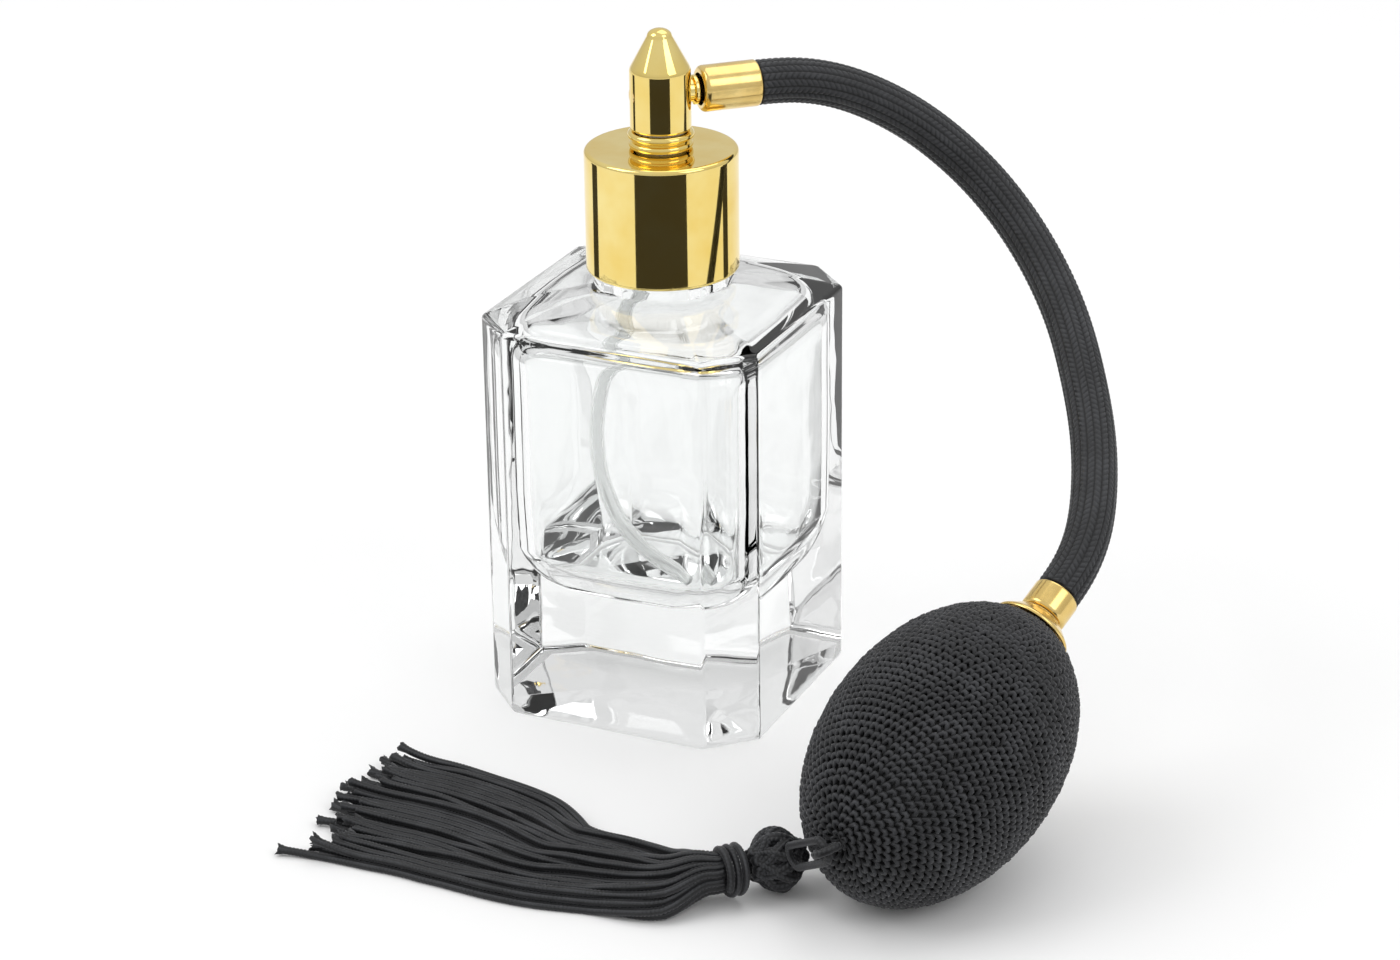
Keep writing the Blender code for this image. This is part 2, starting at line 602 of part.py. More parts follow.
def build_neck_end(axis):
    """What is clamped in the bulb's neck: cap, nipple with its outlet valve, ferrule and tube end."""
    cap_rim = egg(BULB_RADIUS, BULB_HALF_LENGTH, CAP_RADIUS) + 2 * GAP
    cap_top = cap_rim + CAP_RISE
    hole = STEM_RADIUS + GAP
    crown = egg(BULB_RADIUS, BULB_HALF_LENGTH, hole) + GAP
    outline = [(hole, crown), (CAP_RADIUS * 0.82, cap_rim + 0.0003), (CAP_RADIUS - 0.0001, cap_rim)]
    outline += [(CAP_RADIUS, cap_rim + 0.00015), (CAP_RADIUS, cap_rim + CAP_WALL)]
    outline += [(CAP_RADIUS * 0.86, cap_rim + CAP_RISE * 0.52), (CAP_RADIUS * 0.7, cap_rim + CAP_RISE * 0.8)]
    outline += [(FERRULE_RADIUS + 0.0001, cap_top), (hole, cap_top)]
    turned("bulb_cap", outline, gilt("cap_gilt"), axis)

    inner = BULB_RADIUS - NET_THICKNESS - GAP - RUBBER_WALL
    inner_half = BULB_HALF_LENGTH - NET_THICKNESS - GAP - RUBBER_WALL
    flange_top = egg(inner, inner_half, INNER_FLANGE_RADIUS) - GAP
    flange_base = flange_top - INNER_FLANGE_THICKNESS
    ferrule_start = cap_top + GAP
    ferrule_end = ferrule_start + LOWER_FERRULE_LENGTH
    barb_tip = ferrule_end - GAP
    chamber = BALL_RADIUS + BALL_SIDE_ROOM
    seat_top = flange_base + SEAT_THICKNESS
    ball_rest = seat_top + math.sqrt(BALL_RADIUS**2 - SEAT_HOLE**2) + GAP
    chamber_top = ball_rest + BALL_RADIUS + BALL_LIFT + GAP
    outline = [(chamber, flange_base), (INNER_FLANGE_RADIUS, flange_base)]
    outline += [(INNER_FLANGE_RADIUS, flange_top), (STEM_RADIUS, flange_top)]
    outline += [(STEM_RADIUS, ferrule_start + FERRULE_WALL)]
    outline += [(NIPPLE_RADIUS, ferrule_start + FERRULE_WALL)]
    outline += barbs(NIPPLE_RADIUS, barb_tip)
    outline += [(NIPPLE_BORE, barb_tip), (NIPPLE_BORE, chamber_top), (chamber, chamber_top)]
    turned("bulb_nipple", outline, gilt("bulb_nipple_gilt"), axis, steps=24)
    outline = ring_outline(SEAT_HOLE, chamber - GAP, flange_base, seat_top)
    turned("outlet_valve_seat", outline, finish("seat", (0.8, 0.8, 0.78), 0.5), axis, steps=24)
    ball("outlet_valve_ball", BALL_RADIUS, ball_rest, axis)
    ferrule("lower_ferrule", ferrule_start, LOWER_FERRULE_LENGTH, hole, axis)
    tube_end("lower_tube_end", ferrule_start + FERRULE_WALL + GAP, ferrule_end - GAP, axis)


def ball(name, radius, height, parent):
    """A small steel ball on its parent's axis."""
    shape = bmesh.new()
    bmesh.ops.create_uvsphere(shape, u_segments=12, v_segments=8, radius=radius)
    steel = finish(name + "_steel", (0.6, 0.6, 0.6), 0.2, metallic=1.0)
    thing = mesh_object(name, shape, steel, parent)
    thing.location = (0.0, 0.0, height)
    return thing


def build_tail_end(tail):
    """The inlet valve in the bulb's tail: a body with an inner flange, its ball and its cage."""
    face = -NET_THICKNESS - 2 * GAP
    inner_end = face - TAIL_VALVE_LENGTH
    chamber = TAIL_BALL_RADIUS + BALL_SIDE_ROOM
    seat = face - SEAT_THICKNESS
    wall_inside = -NET_THICKNESS - GAP - RUBBER_WALL
    flange_top = wall_inside - TAIL_FLANGE_RADIUS**2 / BULB_RADIUS - 2 * GAP
    outline = [(SEAT_HOLE, face), (TAIL_VALVE_RADIUS, face), (TAIL_VALVE_RADIUS, flange_top)]
    flange_base = flange_top - TAIL_FLANGE_THICKNESS
    outline += [(TAIL_FLANGE_RADIUS, flange_top), (TAIL_FLANGE_RADIUS, flange_base)]
    outline += [(TAIL_VALVE_RADIUS, flange_base), (TAIL_VALVE_RADIUS, inner_end)]
    outline += [(chamber, inner_end), (chamber, seat), (SEAT_HOLE, seat)]
    body = finish("inlet_valve_brass", (0.75, 0.58, 0.25), 0.3, metallic=1.0)
    turned("inlet_valve_body", outline, body, tail, steps=24)
    rest = seat - math.sqrt(TAIL_BALL_RADIUS**2 - SEAT_HOLE**2) - GAP
    ball("inlet_valve_ball", TAIL_BALL_RADIUS, rest, tail)
    outline = ring_outline(SEAT_HOLE * 0.7, chamber - GAP, inner_end, inner_end + CAGE_THICKNESS)
    turned("inlet_valve_cage", outline, finish("cage", (0.8, 0.8, 0.78), 0.5), tail, steps=24)


def build_tassel(frame, lift):
    """The tassel's knotted head, its binding and the bundle of strands, on its lifting axis."""
    material = black_cord("tassel_head_cord")
    outline = [(0.0, -TASSEL_HEAD_RADIUS)]
    outline += arc((0.0, 0.0), TASSEL_HEAD_RADIUS, -75, 75, 8)
    outline += [(0.0, TASSEL_HEAD_RADIUS)]
    turned("tassel_head", outline, material, frame, steps=20)

    start = TASSEL_HEAD_RADIUS + GAP
    end = start + WRAP_LENGTH
    face = WRAP_RADIUS - WRAP_ROUND
    outline = [(0.0, start), (face, start), (WRAP_RADIUS, start + WRAP_ROUND)]
    outline += [(WRAP_RADIUS, end - WRAP_ROUND), (face, end), (0.0, end)]
    turned("tassel_wrap", outline, black_cord("wrap_cord"), frame, steps=20)

    forward = direction(TASSEL_HEADING, 0.0)
    right = forward.cross(UP)
    root = Vector((*TASSEL_HEAD_PLACE, 0.0)) + forward * (end + GAP) - lift.location
    places = [root + forward * s[0] + right * s[1] for s in SKIRT_STATIONS]
    rings = []
    for i, (_, _, half_width, thickness) in enumerate(SKIRT_STATIONS):
        ahead = places[min(i + 1, len(places) - 1)] - places[max(i - 1, 0)]
        across = (forward if i == 0 else ahead.normalized()).cross(UP)
        rings.append(skirt_section(places[i], across, half_width, thickness))
    skinned("tassel_skirt", rings, black_cord("strand_cord"), lift)


def skirt_section(place, across, half_width, thickness):
    """One cross-section of the bundle of strands: wide and flat, lying on the table."""
    points = []
    for step in range(20):
        angle = math.tau * step / 20
        wide = math.copysign(abs(math.cos(angle)) ** 0.8, math.cos(angle))
        high = math.copysign(abs(math.sin(angle)) ** 0.7, math.sin(angle))
        points.append(place + across * (half_width * wide) + UP * (thickness / 2 * (1 + high)))
    return points


def build_eye(eye_place, outward, pull):
    """The small ring of cord sewn to the net at the tail, turned to the way the tassel pulls."""
    hole = outward.cross(pull).normalized()
    along = hole.cross(outward)
    angles = [math.tau * step / 16 for step in range(16)]
    points = [eye_place + (outward * math.cos(a) + along * math.sin(a)) * EYE_RADIUS for a in angles]
    cord_object("tail_eye", points, CORD_RADIUS, black_cord("eye_cord"), 2, closed=True)
    return hole


def build_link(swing, side, pull, length):
    """The tassel's own loop, a long ring of cord that goes through the eye and ends at the head."""
    points = []
    for centre, start in ((EYE_RADIUS, 90), (length - EYE_RADIUS, -90)):
        for step in range(9):
            angle = math.radians(start + 180 * step / 8)
            along = pull * (centre + EYE_RADIUS * math.cos(angle))
            points.append(along + side * (EYE_RADIUS * math.sin(angle)))
    cord = black_cord("loop_cord")
    cord_object("tassel_loop", points, CORD_RADIUS, cord, 2, closed=True, parent=swing)


def build_dip_tube():
    """The clear flexible tube from the head down to the front right corner of the cavity."""
    corner = CAVITY_HALF * DIP_TUBE_REACH
    top = SPIGOT_END + DIP_TUBE_SOCKET_DEPTH
    depth = SPIGOT_END - BASE_THICKNESS
    route = [
        (0.0, 0.0, top),
        (0.0, 0.0, SPIGOT_END),
        (-DIP_TUBE_BOW * 0.2, -DIP_TUBE_BOW * 0.1, SPIGOT_END - depth * 0.16),
        (-DIP_TUBE_BOW * 0.85, -DIP_TUBE_BOW * 0.5, SPIGOT_END - depth * 0.42),
        (-DIP_TUBE_BOW * 0.8, -corner * 0.7, SPIGOT_END - depth * 0.68),
        (corner * 0.25, -corner * 0.95, SPIGOT_END - depth * 0.87),
        (corner, -corner, BASE_THICKNESS + CAVITY_ROUND * 0.5),
    ]
    points = smooth_route(route, (0, 0, -1), (0.8, -0.2, -0.4), 0.0036)
    plastic = finish("dip_tube_plastic", (0.9, 0.93, 0.93), 0.15, transmission=0.8)
    radius = DIP_TUBE_RADIUS
    tube = cord_object("dip_tube", points, radius, plastic, 2, caps=False)
    wall = tube.modifiers.new("tube_wall", "SOLIDIFY")
    wall.thickness = DIP_TUBE_WALL
    wall.offset = -1.0


def main():
    remove_everything()
    build_bottle()
    build_gasket()
    build_collar()
    port = pivot("port_axis", (0.0, 0.0, PORT_LEVEL), PORT_HEADING, 0.0)
    build_head(port)
    build_port(port)
    build_dip_tube()
    build_hose()

    across = BULB_RADIUS * math.cos(BULB_TILT)
    along = BULB_HALF_LENGTH * math.sin(BULB_TILT)
    bulb_place = Vector((*BULB_PLACE, math.hypot(across, along)))
    hose_bend = pivot("hose_bend_axis", HOSE_BEND_PLACE)
    from_bend = bulb_place - hose_bend.location
    axis = pivot("bulb_axis", from_bend, BULB_HEADING, BULB_TILT, hose_bend)
    way_out = direction(BULB_HEADING + math.pi, TAIL_TURN - BULB_TILT)
    slope = math.hypot(math.cos(TAIL_TURN) / BULB_HALF_LENGTH, math.sin(TAIL_TURN) / BULB_RADIUS)
    tail_place = bulb_place + way_out / slope
    from_bend = tail_place - hose_bend.location
    tail = pivot("tail_axis", from_bend, BULB_HEADING + math.pi, TAIL_AXIS_TILT, hose_bend)
    build_bulb(axis, tail)
    build_neck_end(axis)
    build_tail_end(tail)

    outward = direction(BULB_HEADING + math.pi, TAIL_AXIS_TILT)
    eye_place = tail_place + outward * (EYE_RADIUS + CORD_RADIUS + GAP)
    head_place = Vector((*TASSEL_HEAD_PLACE, TASSEL_HEAD_RADIUS))
    pull = (head_place - eye_place).normalized()
    crown = head_place - pull * (TASSEL_HEAD_RADIUS + CORD_RADIUS + GAP)
    hole = build_eye(eye_place, outward, pull)
    swing = pivot("tassel_swing_axis", eye_place)
    build_link(swing, hole, pull, (crown - eye_place).length)
    lift = pivot("tassel_lift_axis", crown)
    frame = pivot("tassel_axis", head_place - crown, TASSEL_HEADING, 0.0, lift)
    build_tassel(frame, lift)


main()
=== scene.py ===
"""Perfume bottle with a bulb atomiser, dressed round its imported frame.

A square bottle of thick clear glass carries a gilt spray head. A braided hose runs from the head to a
rubber bulb in a crocheted net, and a tassel of braided cord hangs from the bulb's tail.
Metres, +Z up. The origin is the centre of the bottle's base.
"""

import json
import math

import bpy
import numpy as np
from mathutils import Matrix, Vector


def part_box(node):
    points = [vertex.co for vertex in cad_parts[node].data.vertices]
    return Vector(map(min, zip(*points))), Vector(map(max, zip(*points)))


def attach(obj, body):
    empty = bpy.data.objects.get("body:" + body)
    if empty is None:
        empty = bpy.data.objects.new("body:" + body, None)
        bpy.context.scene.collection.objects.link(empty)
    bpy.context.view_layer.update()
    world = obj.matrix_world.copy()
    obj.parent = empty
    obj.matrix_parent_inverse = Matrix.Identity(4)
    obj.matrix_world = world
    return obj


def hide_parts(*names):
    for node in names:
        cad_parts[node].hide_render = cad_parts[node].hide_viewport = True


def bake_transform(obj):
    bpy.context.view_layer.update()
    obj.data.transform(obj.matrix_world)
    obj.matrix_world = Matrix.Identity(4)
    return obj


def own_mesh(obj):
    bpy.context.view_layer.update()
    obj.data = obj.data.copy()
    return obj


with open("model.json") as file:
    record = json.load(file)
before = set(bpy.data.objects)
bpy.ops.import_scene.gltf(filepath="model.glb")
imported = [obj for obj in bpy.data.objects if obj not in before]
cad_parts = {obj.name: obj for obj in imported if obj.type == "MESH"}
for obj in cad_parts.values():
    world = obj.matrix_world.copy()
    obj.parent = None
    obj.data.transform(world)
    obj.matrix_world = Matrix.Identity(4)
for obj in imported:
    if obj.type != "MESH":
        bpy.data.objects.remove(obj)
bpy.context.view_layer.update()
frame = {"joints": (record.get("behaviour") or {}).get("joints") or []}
joints = {joint["name"]: joint for joint in frame["joints"]}

# Camera. A short telephoto view from the front right and a little above the spray head.
view_right = Vector((0.91055, 0.41323, -0.01150))
view_up = Vector((-0.15391, 0.36469, 0.91832))
camera_data = bpy.data.cameras.new("camera")
camera_data.lens = 97.5
camera = bpy.data.objects.new("camera", camera_data)
camera.matrix_world = Matrix((view_right, view_up, view_right.cross(view_up))).transposed().to_4x4()
camera.location = (0.22261, -0.47213, 0.25694)
bpy.context.scene.collection.objects.link(camera)
bpy.context.scene.camera = camera

# Hose. A rubber air tube in a tight plait of black polyester yarn, held in a gilt ferrule at each
# end. The plait shows as upright columns of small pads that lean left and right by turns.
HOSE_RADIUS = 0.0033
HOSE_STOPS = (
    (0.0108, 0.0101, 0.0926),
    (0.0152, 0.0141, 0.0923),
    (0.0200, 0.0182, 0.0908),
    (0.0248, 0.0219, 0.0881),
    (0.0296, 0.0251, 0.0845),
    (0.0345, 0.0273, 0.0802),
    (0.0397, 0.0282, 0.0753),
    (0.0451, 0.0273, 0.0700),
    (0.0505, 0.0245, 0.0645),
    (0.0558, 0.0198, 0.0587),
    (0.0605, 0.0134, 0.0530),
    (0.0646, 0.0062, 0.0475),
    (0.0675, -0.0012, 0.0424),
    (0.0688, -0.0074, 0.0382),
    (0.0686, -0.0119, 0.0351),
    (0.0676, -0.0160, 0.0326),
)
HOSE_COLUMNS = 18
HOSE_PAD_LENGTH = 0.00088
HOSE_RELIEF = 0.00028
BLACK_YARN = (0.0035, 0.0036, 0.0042)

port_place = Vector(joints["head_swivel"]["pos_m"])
bulb_way = Vector(joints["outlet_valve_lift"]["axis"])


def centre_of(node):
    """The middle of a CAD node's box."""
    low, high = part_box(node)
    return (low + high) / 2


def distances(path):
    """How far along a path each of its points is."""
    return np.concatenate([[0], np.cumsum(np.linalg.norm(np.diff(path, axis=0), axis=1))])


def smooth_curve(stops, spacing, start=None, end=None):
    """Evenly spaced points on a curve of even curvature through given stops."""
    knots = np.array(stops, float)
    steps = np.linalg.norm(np.diff(knots, axis=0), axis=1)
    slopes = np.diff(knots, axis=0) / steps[:, None]
    system = np.eye(len(knots))
    wanted = np.zeros_like(knots)
    wanted[0] = slopes[0] if start is None else start
    wanted[-1] = slopes[-1] if end is None else end
    for i in range(1, len(knots) - 1):
        system[i, i - 1 : i + 2] = (steps[i], 2 * (steps[i - 1] + steps[i]), steps[i - 1])
        wanted[i] = 3 * (steps[i] * slopes[i - 1] + steps[i - 1] * slopes[i])
    tangents = np.linalg.solve(system, wanted)
    t = np.linspace(0.0, 1.0, 25)[1:, None]
    fine = [knots[:1]]
    for i, step in enumerate(steps):
        piece = knots[i] * (2 * t**3 - 3 * t**2 + 1) + knots[i + 1] * (3 * t**2 - 2 * t**3)
        piece += step * (tangents[i] * (t**3 - 2 * t**2 + t) + tangents[i + 1] * (t**3 - t**2))
        fine.append(piece)
    fine = np.concatenate(fine)
    travelled = distances(fine)
    stops_at = np.linspace(0.0, travelled[-1], max(2, round(travelled[-1] / spacing) + 1))
    return np.stack([np.interp(stops_at, travelled, fine[:, k]) for k in range(3)], axis=1)


def across_path(path, closed=False):
    """Two unit vectors across a path at each point, twisted as little as the path allows."""
    ahead = np.roll(path, -1, 0) - np.roll(path, 1, 0) if closed else np.gradient(path, axis=0)
    ahead /= np.linalg.norm(ahead, axis=1)[:, None]
    first = np.cross(ahead[0], (0.0, 0.0, 1.0) if abs(ahead[0][2]) < 0.9 else (1.0, 0.0, 0.0))
    sides = [first / np.linalg.norm(first)]
    for forward in ahead[1:]:
        side = sides[-1] - forward * (sides[-1] @ forward)
        sides.append(side / np.linalg.norm(side))
    sides = np.array(sides)
    if closed:
        last = sides[-1] - ahead[0] * (sides[-1] @ ahead[0])
        turn = math.atan2(np.cross(last, sides[0]) @ ahead[0], last @ sides[0])
        angle = (turn * np.arange(len(path)) / len(path))[:, None]
        sides = sides * np.cos(angle) + np.cross(ahead, sides) * np.sin(angle)
    return sides, np.cross(ahead, sides)


def keep_relief_shade(piece, relief):
    """Store how proud each point of a yarn piece stands, 0 in the gaps and 1 on top, for painted shade.
    """
    stored = piece.data.attributes.new("relief", "FLOAT", "POINT")
    stored.data.foreach_set("value", np.ascontiguousarray(relief, dtype=np.float32).ravel())


def ringed_mesh(name, rings, around=1.0, along=1.0, closed=False, capped=True):
    """A mesh through rings of points. Its UV map counts stitches round it and along it."""
    count, sides = rings.shape[:2]
    corner = np.arange(count * sides).reshape(count, sides)
    lower = corner if closed else corner[:-1]
    upper = np.roll(corner, -1, 0) if closed else corner[1:]
    quads = np.stack([lower, np.roll(lower, -1, 1), np.roll(upper, -1, 1), upper], axis=-1)
    faces = quads.reshape(-1, 4).tolist()
    if capped and not closed:
        faces += [corner[0][::-1].tolist(), corner[-1].tolist()]
    mesh = bpy.data.meshes.new(name)
    mesh.from_pydata(rings.reshape(-1, 3).tolist(), [], faces)
    u = np.linspace(0, around, sides + 1)
    v = np.linspace(0, along, len(lower) + 1)
    left, low = np.meshgrid(u[:-1], v[:-1])
    right, high = np.meshgrid(u[1:], v[1:])
    places = np.stack([left, low, right, low, right, high, left, high], axis=-1).ravel()
    flat = np.zeros(len(mesh.loops) * 2)
    flat[: len(places)] = places
    mesh.uv_layers.new(name="stitches").data.foreach_set("uv", flat)
    mesh.shade_smooth()
    piece = bpy.data.objects.new(name, mesh)
    bpy.context.scene.collection.objects.link(piece)
    return piece


def plait(u, v):
    """Relief of a plait, 0 to 1, at u columns round and v pads along."""
    column = np.floor(u)
    over = u - column - 0.5
    lean = np.where(column % 2 == 0, 0.9, -0.9)
    up = (v + lean * over + 0.5 * (column % 2)) % 1.0 - 0.5
    ridge = np.sqrt(np.clip(1 - np.abs(2 * over) ** 2.6, 0, 1))
    return ridge * np.sqrt(np.clip(1 - np.abs(2 * up) ** 3, 0, 1))


def plaited_rings(path, radius, columns, pad_length, relief, per_column, closed=False):
    """Rings of points on a plaited cord, and how many pads long it is."""
    side, up = across_path(path, closed)
    travelled = distances(path)
    pads = max(1, round(travelled[-1] / pad_length))
    u = np.arange(columns * per_column) / per_column
    v = travelled / travelled[-1] * pads
    height = plait(u[None, :], v[:, None])
    reach = radius - relief * (1 - height)
    angle = 2 * math.pi * u / columns
    way = side[:, None] * np.cos(angle)[None, :, None] + up[:, None] * np.sin(angle)[None, :, None]
    return path[:, None] + way * reach[..., None], pads, height


def new_node(tree, kind, **values):
    """A shader node with its settings and input values."""
    made = tree.nodes.new(kind)
    for name, value in values.items():
        if hasattr(made, name):
            setattr(made, name, value)
        else:
            made.inputs[name.replace("_", " ")].default_value = value
    return made


def wire(tree, *wires):
    """Link sockets, each wire as a node and its output, then a node and its input."""
    for source, output, target, entry in wires:
        tree.links.new(source.outputs[output], target.inputs[entry])


def new_material(name):
    """An empty node material, with its tree and its shader."""
    made = bpy.data.materials.new(name)
    made.use_nodes = True
    return made, made.node_tree, made.node_tree.nodes["Principled BSDF"]


def mixed_colour(tree, first, second):
    """A node that mixes two colours."""
    colour = new_node(tree, "ShaderNodeMix", data_type="RGBA")
    colour.inputs["A"].default_value = (*first, 1.0)
    colour.inputs["B"].default_value = (*second, 1.0)
    return colour


def group_with(name, inputs, outputs):
    """An empty shader node group with its sockets, and its two end nodes."""
    group = bpy.data.node_groups.new(name, "ShaderNodeTree")
    for socket, kind in inputs:
        group.interface.new_socket(socket, in_out="INPUT", socket_type="NodeSocket" + kind)
    for socket, kind in outputs:
        group.interface.new_socket(socket, in_out="OUTPUT", socket_type="NodeSocket" + kind)
    return group, group.nodes.new("NodeGroupInput"), group.nodes.new("NodeGroupOutput")


# The yarn group gives the fine twisted fibres of polyester yarn, and patches where dust has dulled it.
yarn_group, given, results = group_with(
    "yarn",
    [("Place", "Vector"), ("Fibre", "Float"), ("Dust", "Float")],
    [("Shade", "Float"), ("Fibres", "Float")],
)
fibres = new_node(yarn_group, "ShaderNodeTexNoise", Detail=3.0, Roughness=0.65, Distortion=0.6)
patches = new_node(yarn_group, "ShaderNodeTexNoise", Scale=180.0, Detail=4.0, Roughness=0.6)
dusted = new_node(yarn_group, "ShaderNodeMapRange", From_Min=0.42, From_Max=0.72, To_Max=1.0)
scaled = new_node(yarn_group, "ShaderNodeMath", operation="MULTIPLY")
blended = new_node(yarn_group, "ShaderNodeMath", operation="MULTIPLY_ADD")
blended.inputs[1].default_value = 0.55
wire(
    yarn_group,
    (given, "Place", fibres, "Vector"),
    (given, "Fibre", fibres, "Scale"),
    (given, "Place", patches, "Vector"),
    (patches, "Fac", dusted, "Value"),
    (dusted, "Result", scaled, 0),
    (given, "Dust", scaled, 1),
    (fibres, "Fac", blended, 0),
    (scaled, "Value", blended, 2),
    (blended, "Value", results, "Shade"),
    (fibres, "Fac", results, "Fibres"),
)


def yarn_material(name, dark, light, fibre, dust, roughness):
    """Black yarn, nearly black with painted shade in its gaps and a little greyer with a painted
    highlight on its proud tops, varied by its fibres, with a soft sheen.
    """
    made, tree, shader = new_material(name)
    place = new_node(tree, "ShaderNodeTexCoord")
    yarn = new_node(tree, "ShaderNodeGroup", node_tree=yarn_group)
    yarn.inputs["Fibre"].default_value = fibre
    yarn.inputs["Dust"].default_value = dust
    colour = mixed_colour(tree, dark, light)
    rough = new_node(tree, "ShaderNodeMapRange", To_Min=roughness - 0.12, To_Max=roughness + 0.12)
    bump = new_node(tree, "ShaderNodeBump", Strength=0.5, Distance=0.00006)
    wire(tree, (place, "Object", yarn, "Place"))
    # Painted shade and painted highlight: the stored relief, times the yarn's tone, moves the colour
    # from dark in the gaps to light on the tops.
    proud = new_node(tree, "ShaderNodeAttribute", attribute_name="relief")
    lit = new_node(tree, "ShaderNodeMath", operation="MULTIPLY")
    wire(
        tree,
        (proud, "Fac", lit, 0),
        (yarn, "Shade", lit, 1),
        (lit, "Value", colour, "Factor"),
        (colour, "Result", shader, "Base Color"),
        (yarn, "Fibres", rough, "Value"),
        (rough, "Result", shader, "Roughness"),
        (yarn, "Fibres", bump, "Height"),
        (bump, "Normal", shader, "Normal"),
    )
    shader.inputs["Sheen Weight"].default_value = 0.12
    shader.inputs["Sheen Roughness"].default_value = 0.45
    shader.inputs["Specular IOR Level"].default_value = 0.35
    return made


port_way = (centre_of("upper_ferrule") - port_place).normalized()
hose_path = smooth_curve(HOSE_STOPS, HOSE_PAD_LENGTH / 6, port_way, -bulb_way)
rings, pads, relief = plaited_rings(
    hose_path, HOSE_RADIUS, HOSE_COLUMNS, HOSE_PAD_LENGTH, HOSE_RELIEF, 6
)
hose = ringed_mesh("braided_hose", rings, HOSE_COLUMNS, pads)
keep_relief_shade(hose, relief)
# The second colour is the painted highlight on the plait's pads; the gaps take painted shade.
hose.data.materials.append(
    yarn_material("hose_yarn", BLACK_YARN, (0.085, 0.089, 0.098), 3200.0, 0.25, 0.52)
)
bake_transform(hose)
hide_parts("hose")

# Bottle. Thick clear pressed glass: a square body with cut corners and a heavy floor, a low domed
# shoulder, a round step, and a screw neck with its thread. The inside is softer than the outside.
GLASS_CUT = 0.00625
GLASS_EDGE = 0.0009
GLASS_SHOULDER = 0.0613
GLASS_STEP_RADIUS = 0.01015
GLASS_STEP = (0.0643, 0.0661)
NECK_RADIUS = 0.0076
NECK_BORE = 0.0060
CAVITY_HALF = 0.0176
CAVITY_FLOOR = 0.0186
CAVITY_CEILING = 0.0587
CAVITY_CORNER = 0.0084
THREAD_TURNS = 1.5
THREAD_PITCH = 0.0030
THREAD_START = 0.0028
THREAD_DEPTH = 0.0011
THREAD_WIDTH = 0.0009
THREAD_SUNK = 0.0002
THREAD_FADE = 0.8
THREAD_SECTION = (
    (-0.3, -0.9), (0.3, -0.55), (0.85, -0.3), (1, 0), (0.85, 0.3), (0.3, 0.55), (-0.3, 0.9),
)
CAVITY_SQUARENESS = 5.0
FLOOR_SQUARENESS = 3.4
LONG_SHARES = (0.008, 0.07, 0.15, 0.23, 0.31, 0.39, 0.5, 0.61, 0.69, 0.77, 0.85, 0.93, 0.992)
SHORT_SHARES = (0.05, 0.5, 0.95)

bottle_low, bottle_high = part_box("bottle")
glass_half = (bottle_high.x - bottle_low.x) / 2


def cut_square(half, cut, edge):
    """The outline of a square with cut corners, each edge rounded off. Same point count always."""
    corners = []
    for quarter in range(4):
        turn = Matrix.Rotation(math.pi / 2 * quarter, 2)
        corners += [turn @ Vector((half, cut - half)), turn @ Vector((half, half - cut))]
    points = []
    for i, corner in enumerate(corners):
        before = (corner - corners[i - 1]).normalized()
        after = (corners[(i + 1) % 8] - corner).normalized()
        reach = edge * math.tan(math.pi / 8)
        centre = corner - before * reach + Vector((-before.y, before.x)) * edge
        for step in range(5):
            spoke = Matrix.Rotation(math.pi / 16 * step, 2) @ Vector((before.y, -before.x))
            points.append(centre + spoke * edge)
        start = corner + after * reach
        end = corners[(i + 1) % 8] - after * reach
        shares = LONG_SHARES if i % 2 else SHORT_SHARES
        points += [start.lerp(end, share) for share in shares]
    return np.array([tuple(point) for point in points])


glass_angles = np.arctan2(*cut_square(glass_half, GLASS_CUT, GLASS_EDGE).T[::-1])


def round_outline(reach, squareness=2.0):
    """An outline between a circle and a soft square, at the body's own angles."""
    x, y = np.cos(glass_angles), np.sin(glass_angles)
    size = (np.abs(x) ** squareness + np.abs(y) ** squareness) ** (1 / squareness)
    return np.stack([x, y], axis=1) * (reach / size)[:, None]


def level(outline, height):
    """An outline set at a height."""
    return np.column_stack([outline, np.full(len(outline), height)])


foot = cut_square(glass_half - GLASS_EDGE, GLASS_CUT, GLASS_EDGE)
body = cut_square(glass_half, GLASS_CUT, GLASS_EDGE)
step_circle = round_outline(GLASS_STEP_RADIUS)
glass_rings = []
for share, rise in (
    (0.03, 0.0015), (0.25, 0.0014), (0.45, 0.0011), (0.62, 0.0007), (0.76, 0.0003), (0.86, 0.00008),
    (0.93, 0.0), (0.97, 0.0),
):
    glass_rings.append(level(foot * share, rise))
for step in range(6):
    angle = math.pi / 2 * step / 5
    inward = 1 - math.sin(angle)
    ring = body + (foot - body) * inward
    glass_rings.append(level(ring, GLASS_EDGE * (1 - math.cos(angle))))
for share in (0.004, 0.1, 0.4, 0.7, 0.9, 0.996):
    glass_rings.append(level(body, GLASS_EDGE + share * (GLASS_SHOULDER - 2 * GLASS_EDGE)))
for step in range(6):
    angle = math.pi / 2 * step / 5
    ring = body + (foot - body) * (1 - math.cos(angle))
    glass_rings.append(level(ring, GLASS_SHOULDER - GLASS_EDGE * (1 - math.sin(angle))))
for share in (0.12, 0.25, 0.4, 0.55, 0.7, 0.82, 0.92, 0.98):
    rise = (GLASS_STEP[0] - GLASS_SHOULDER) * (1 - (1 - share) ** 1.6)
    glass_rings.append(level(foot + (step_circle - foot) * share, GLASS_SHOULDER + rise))
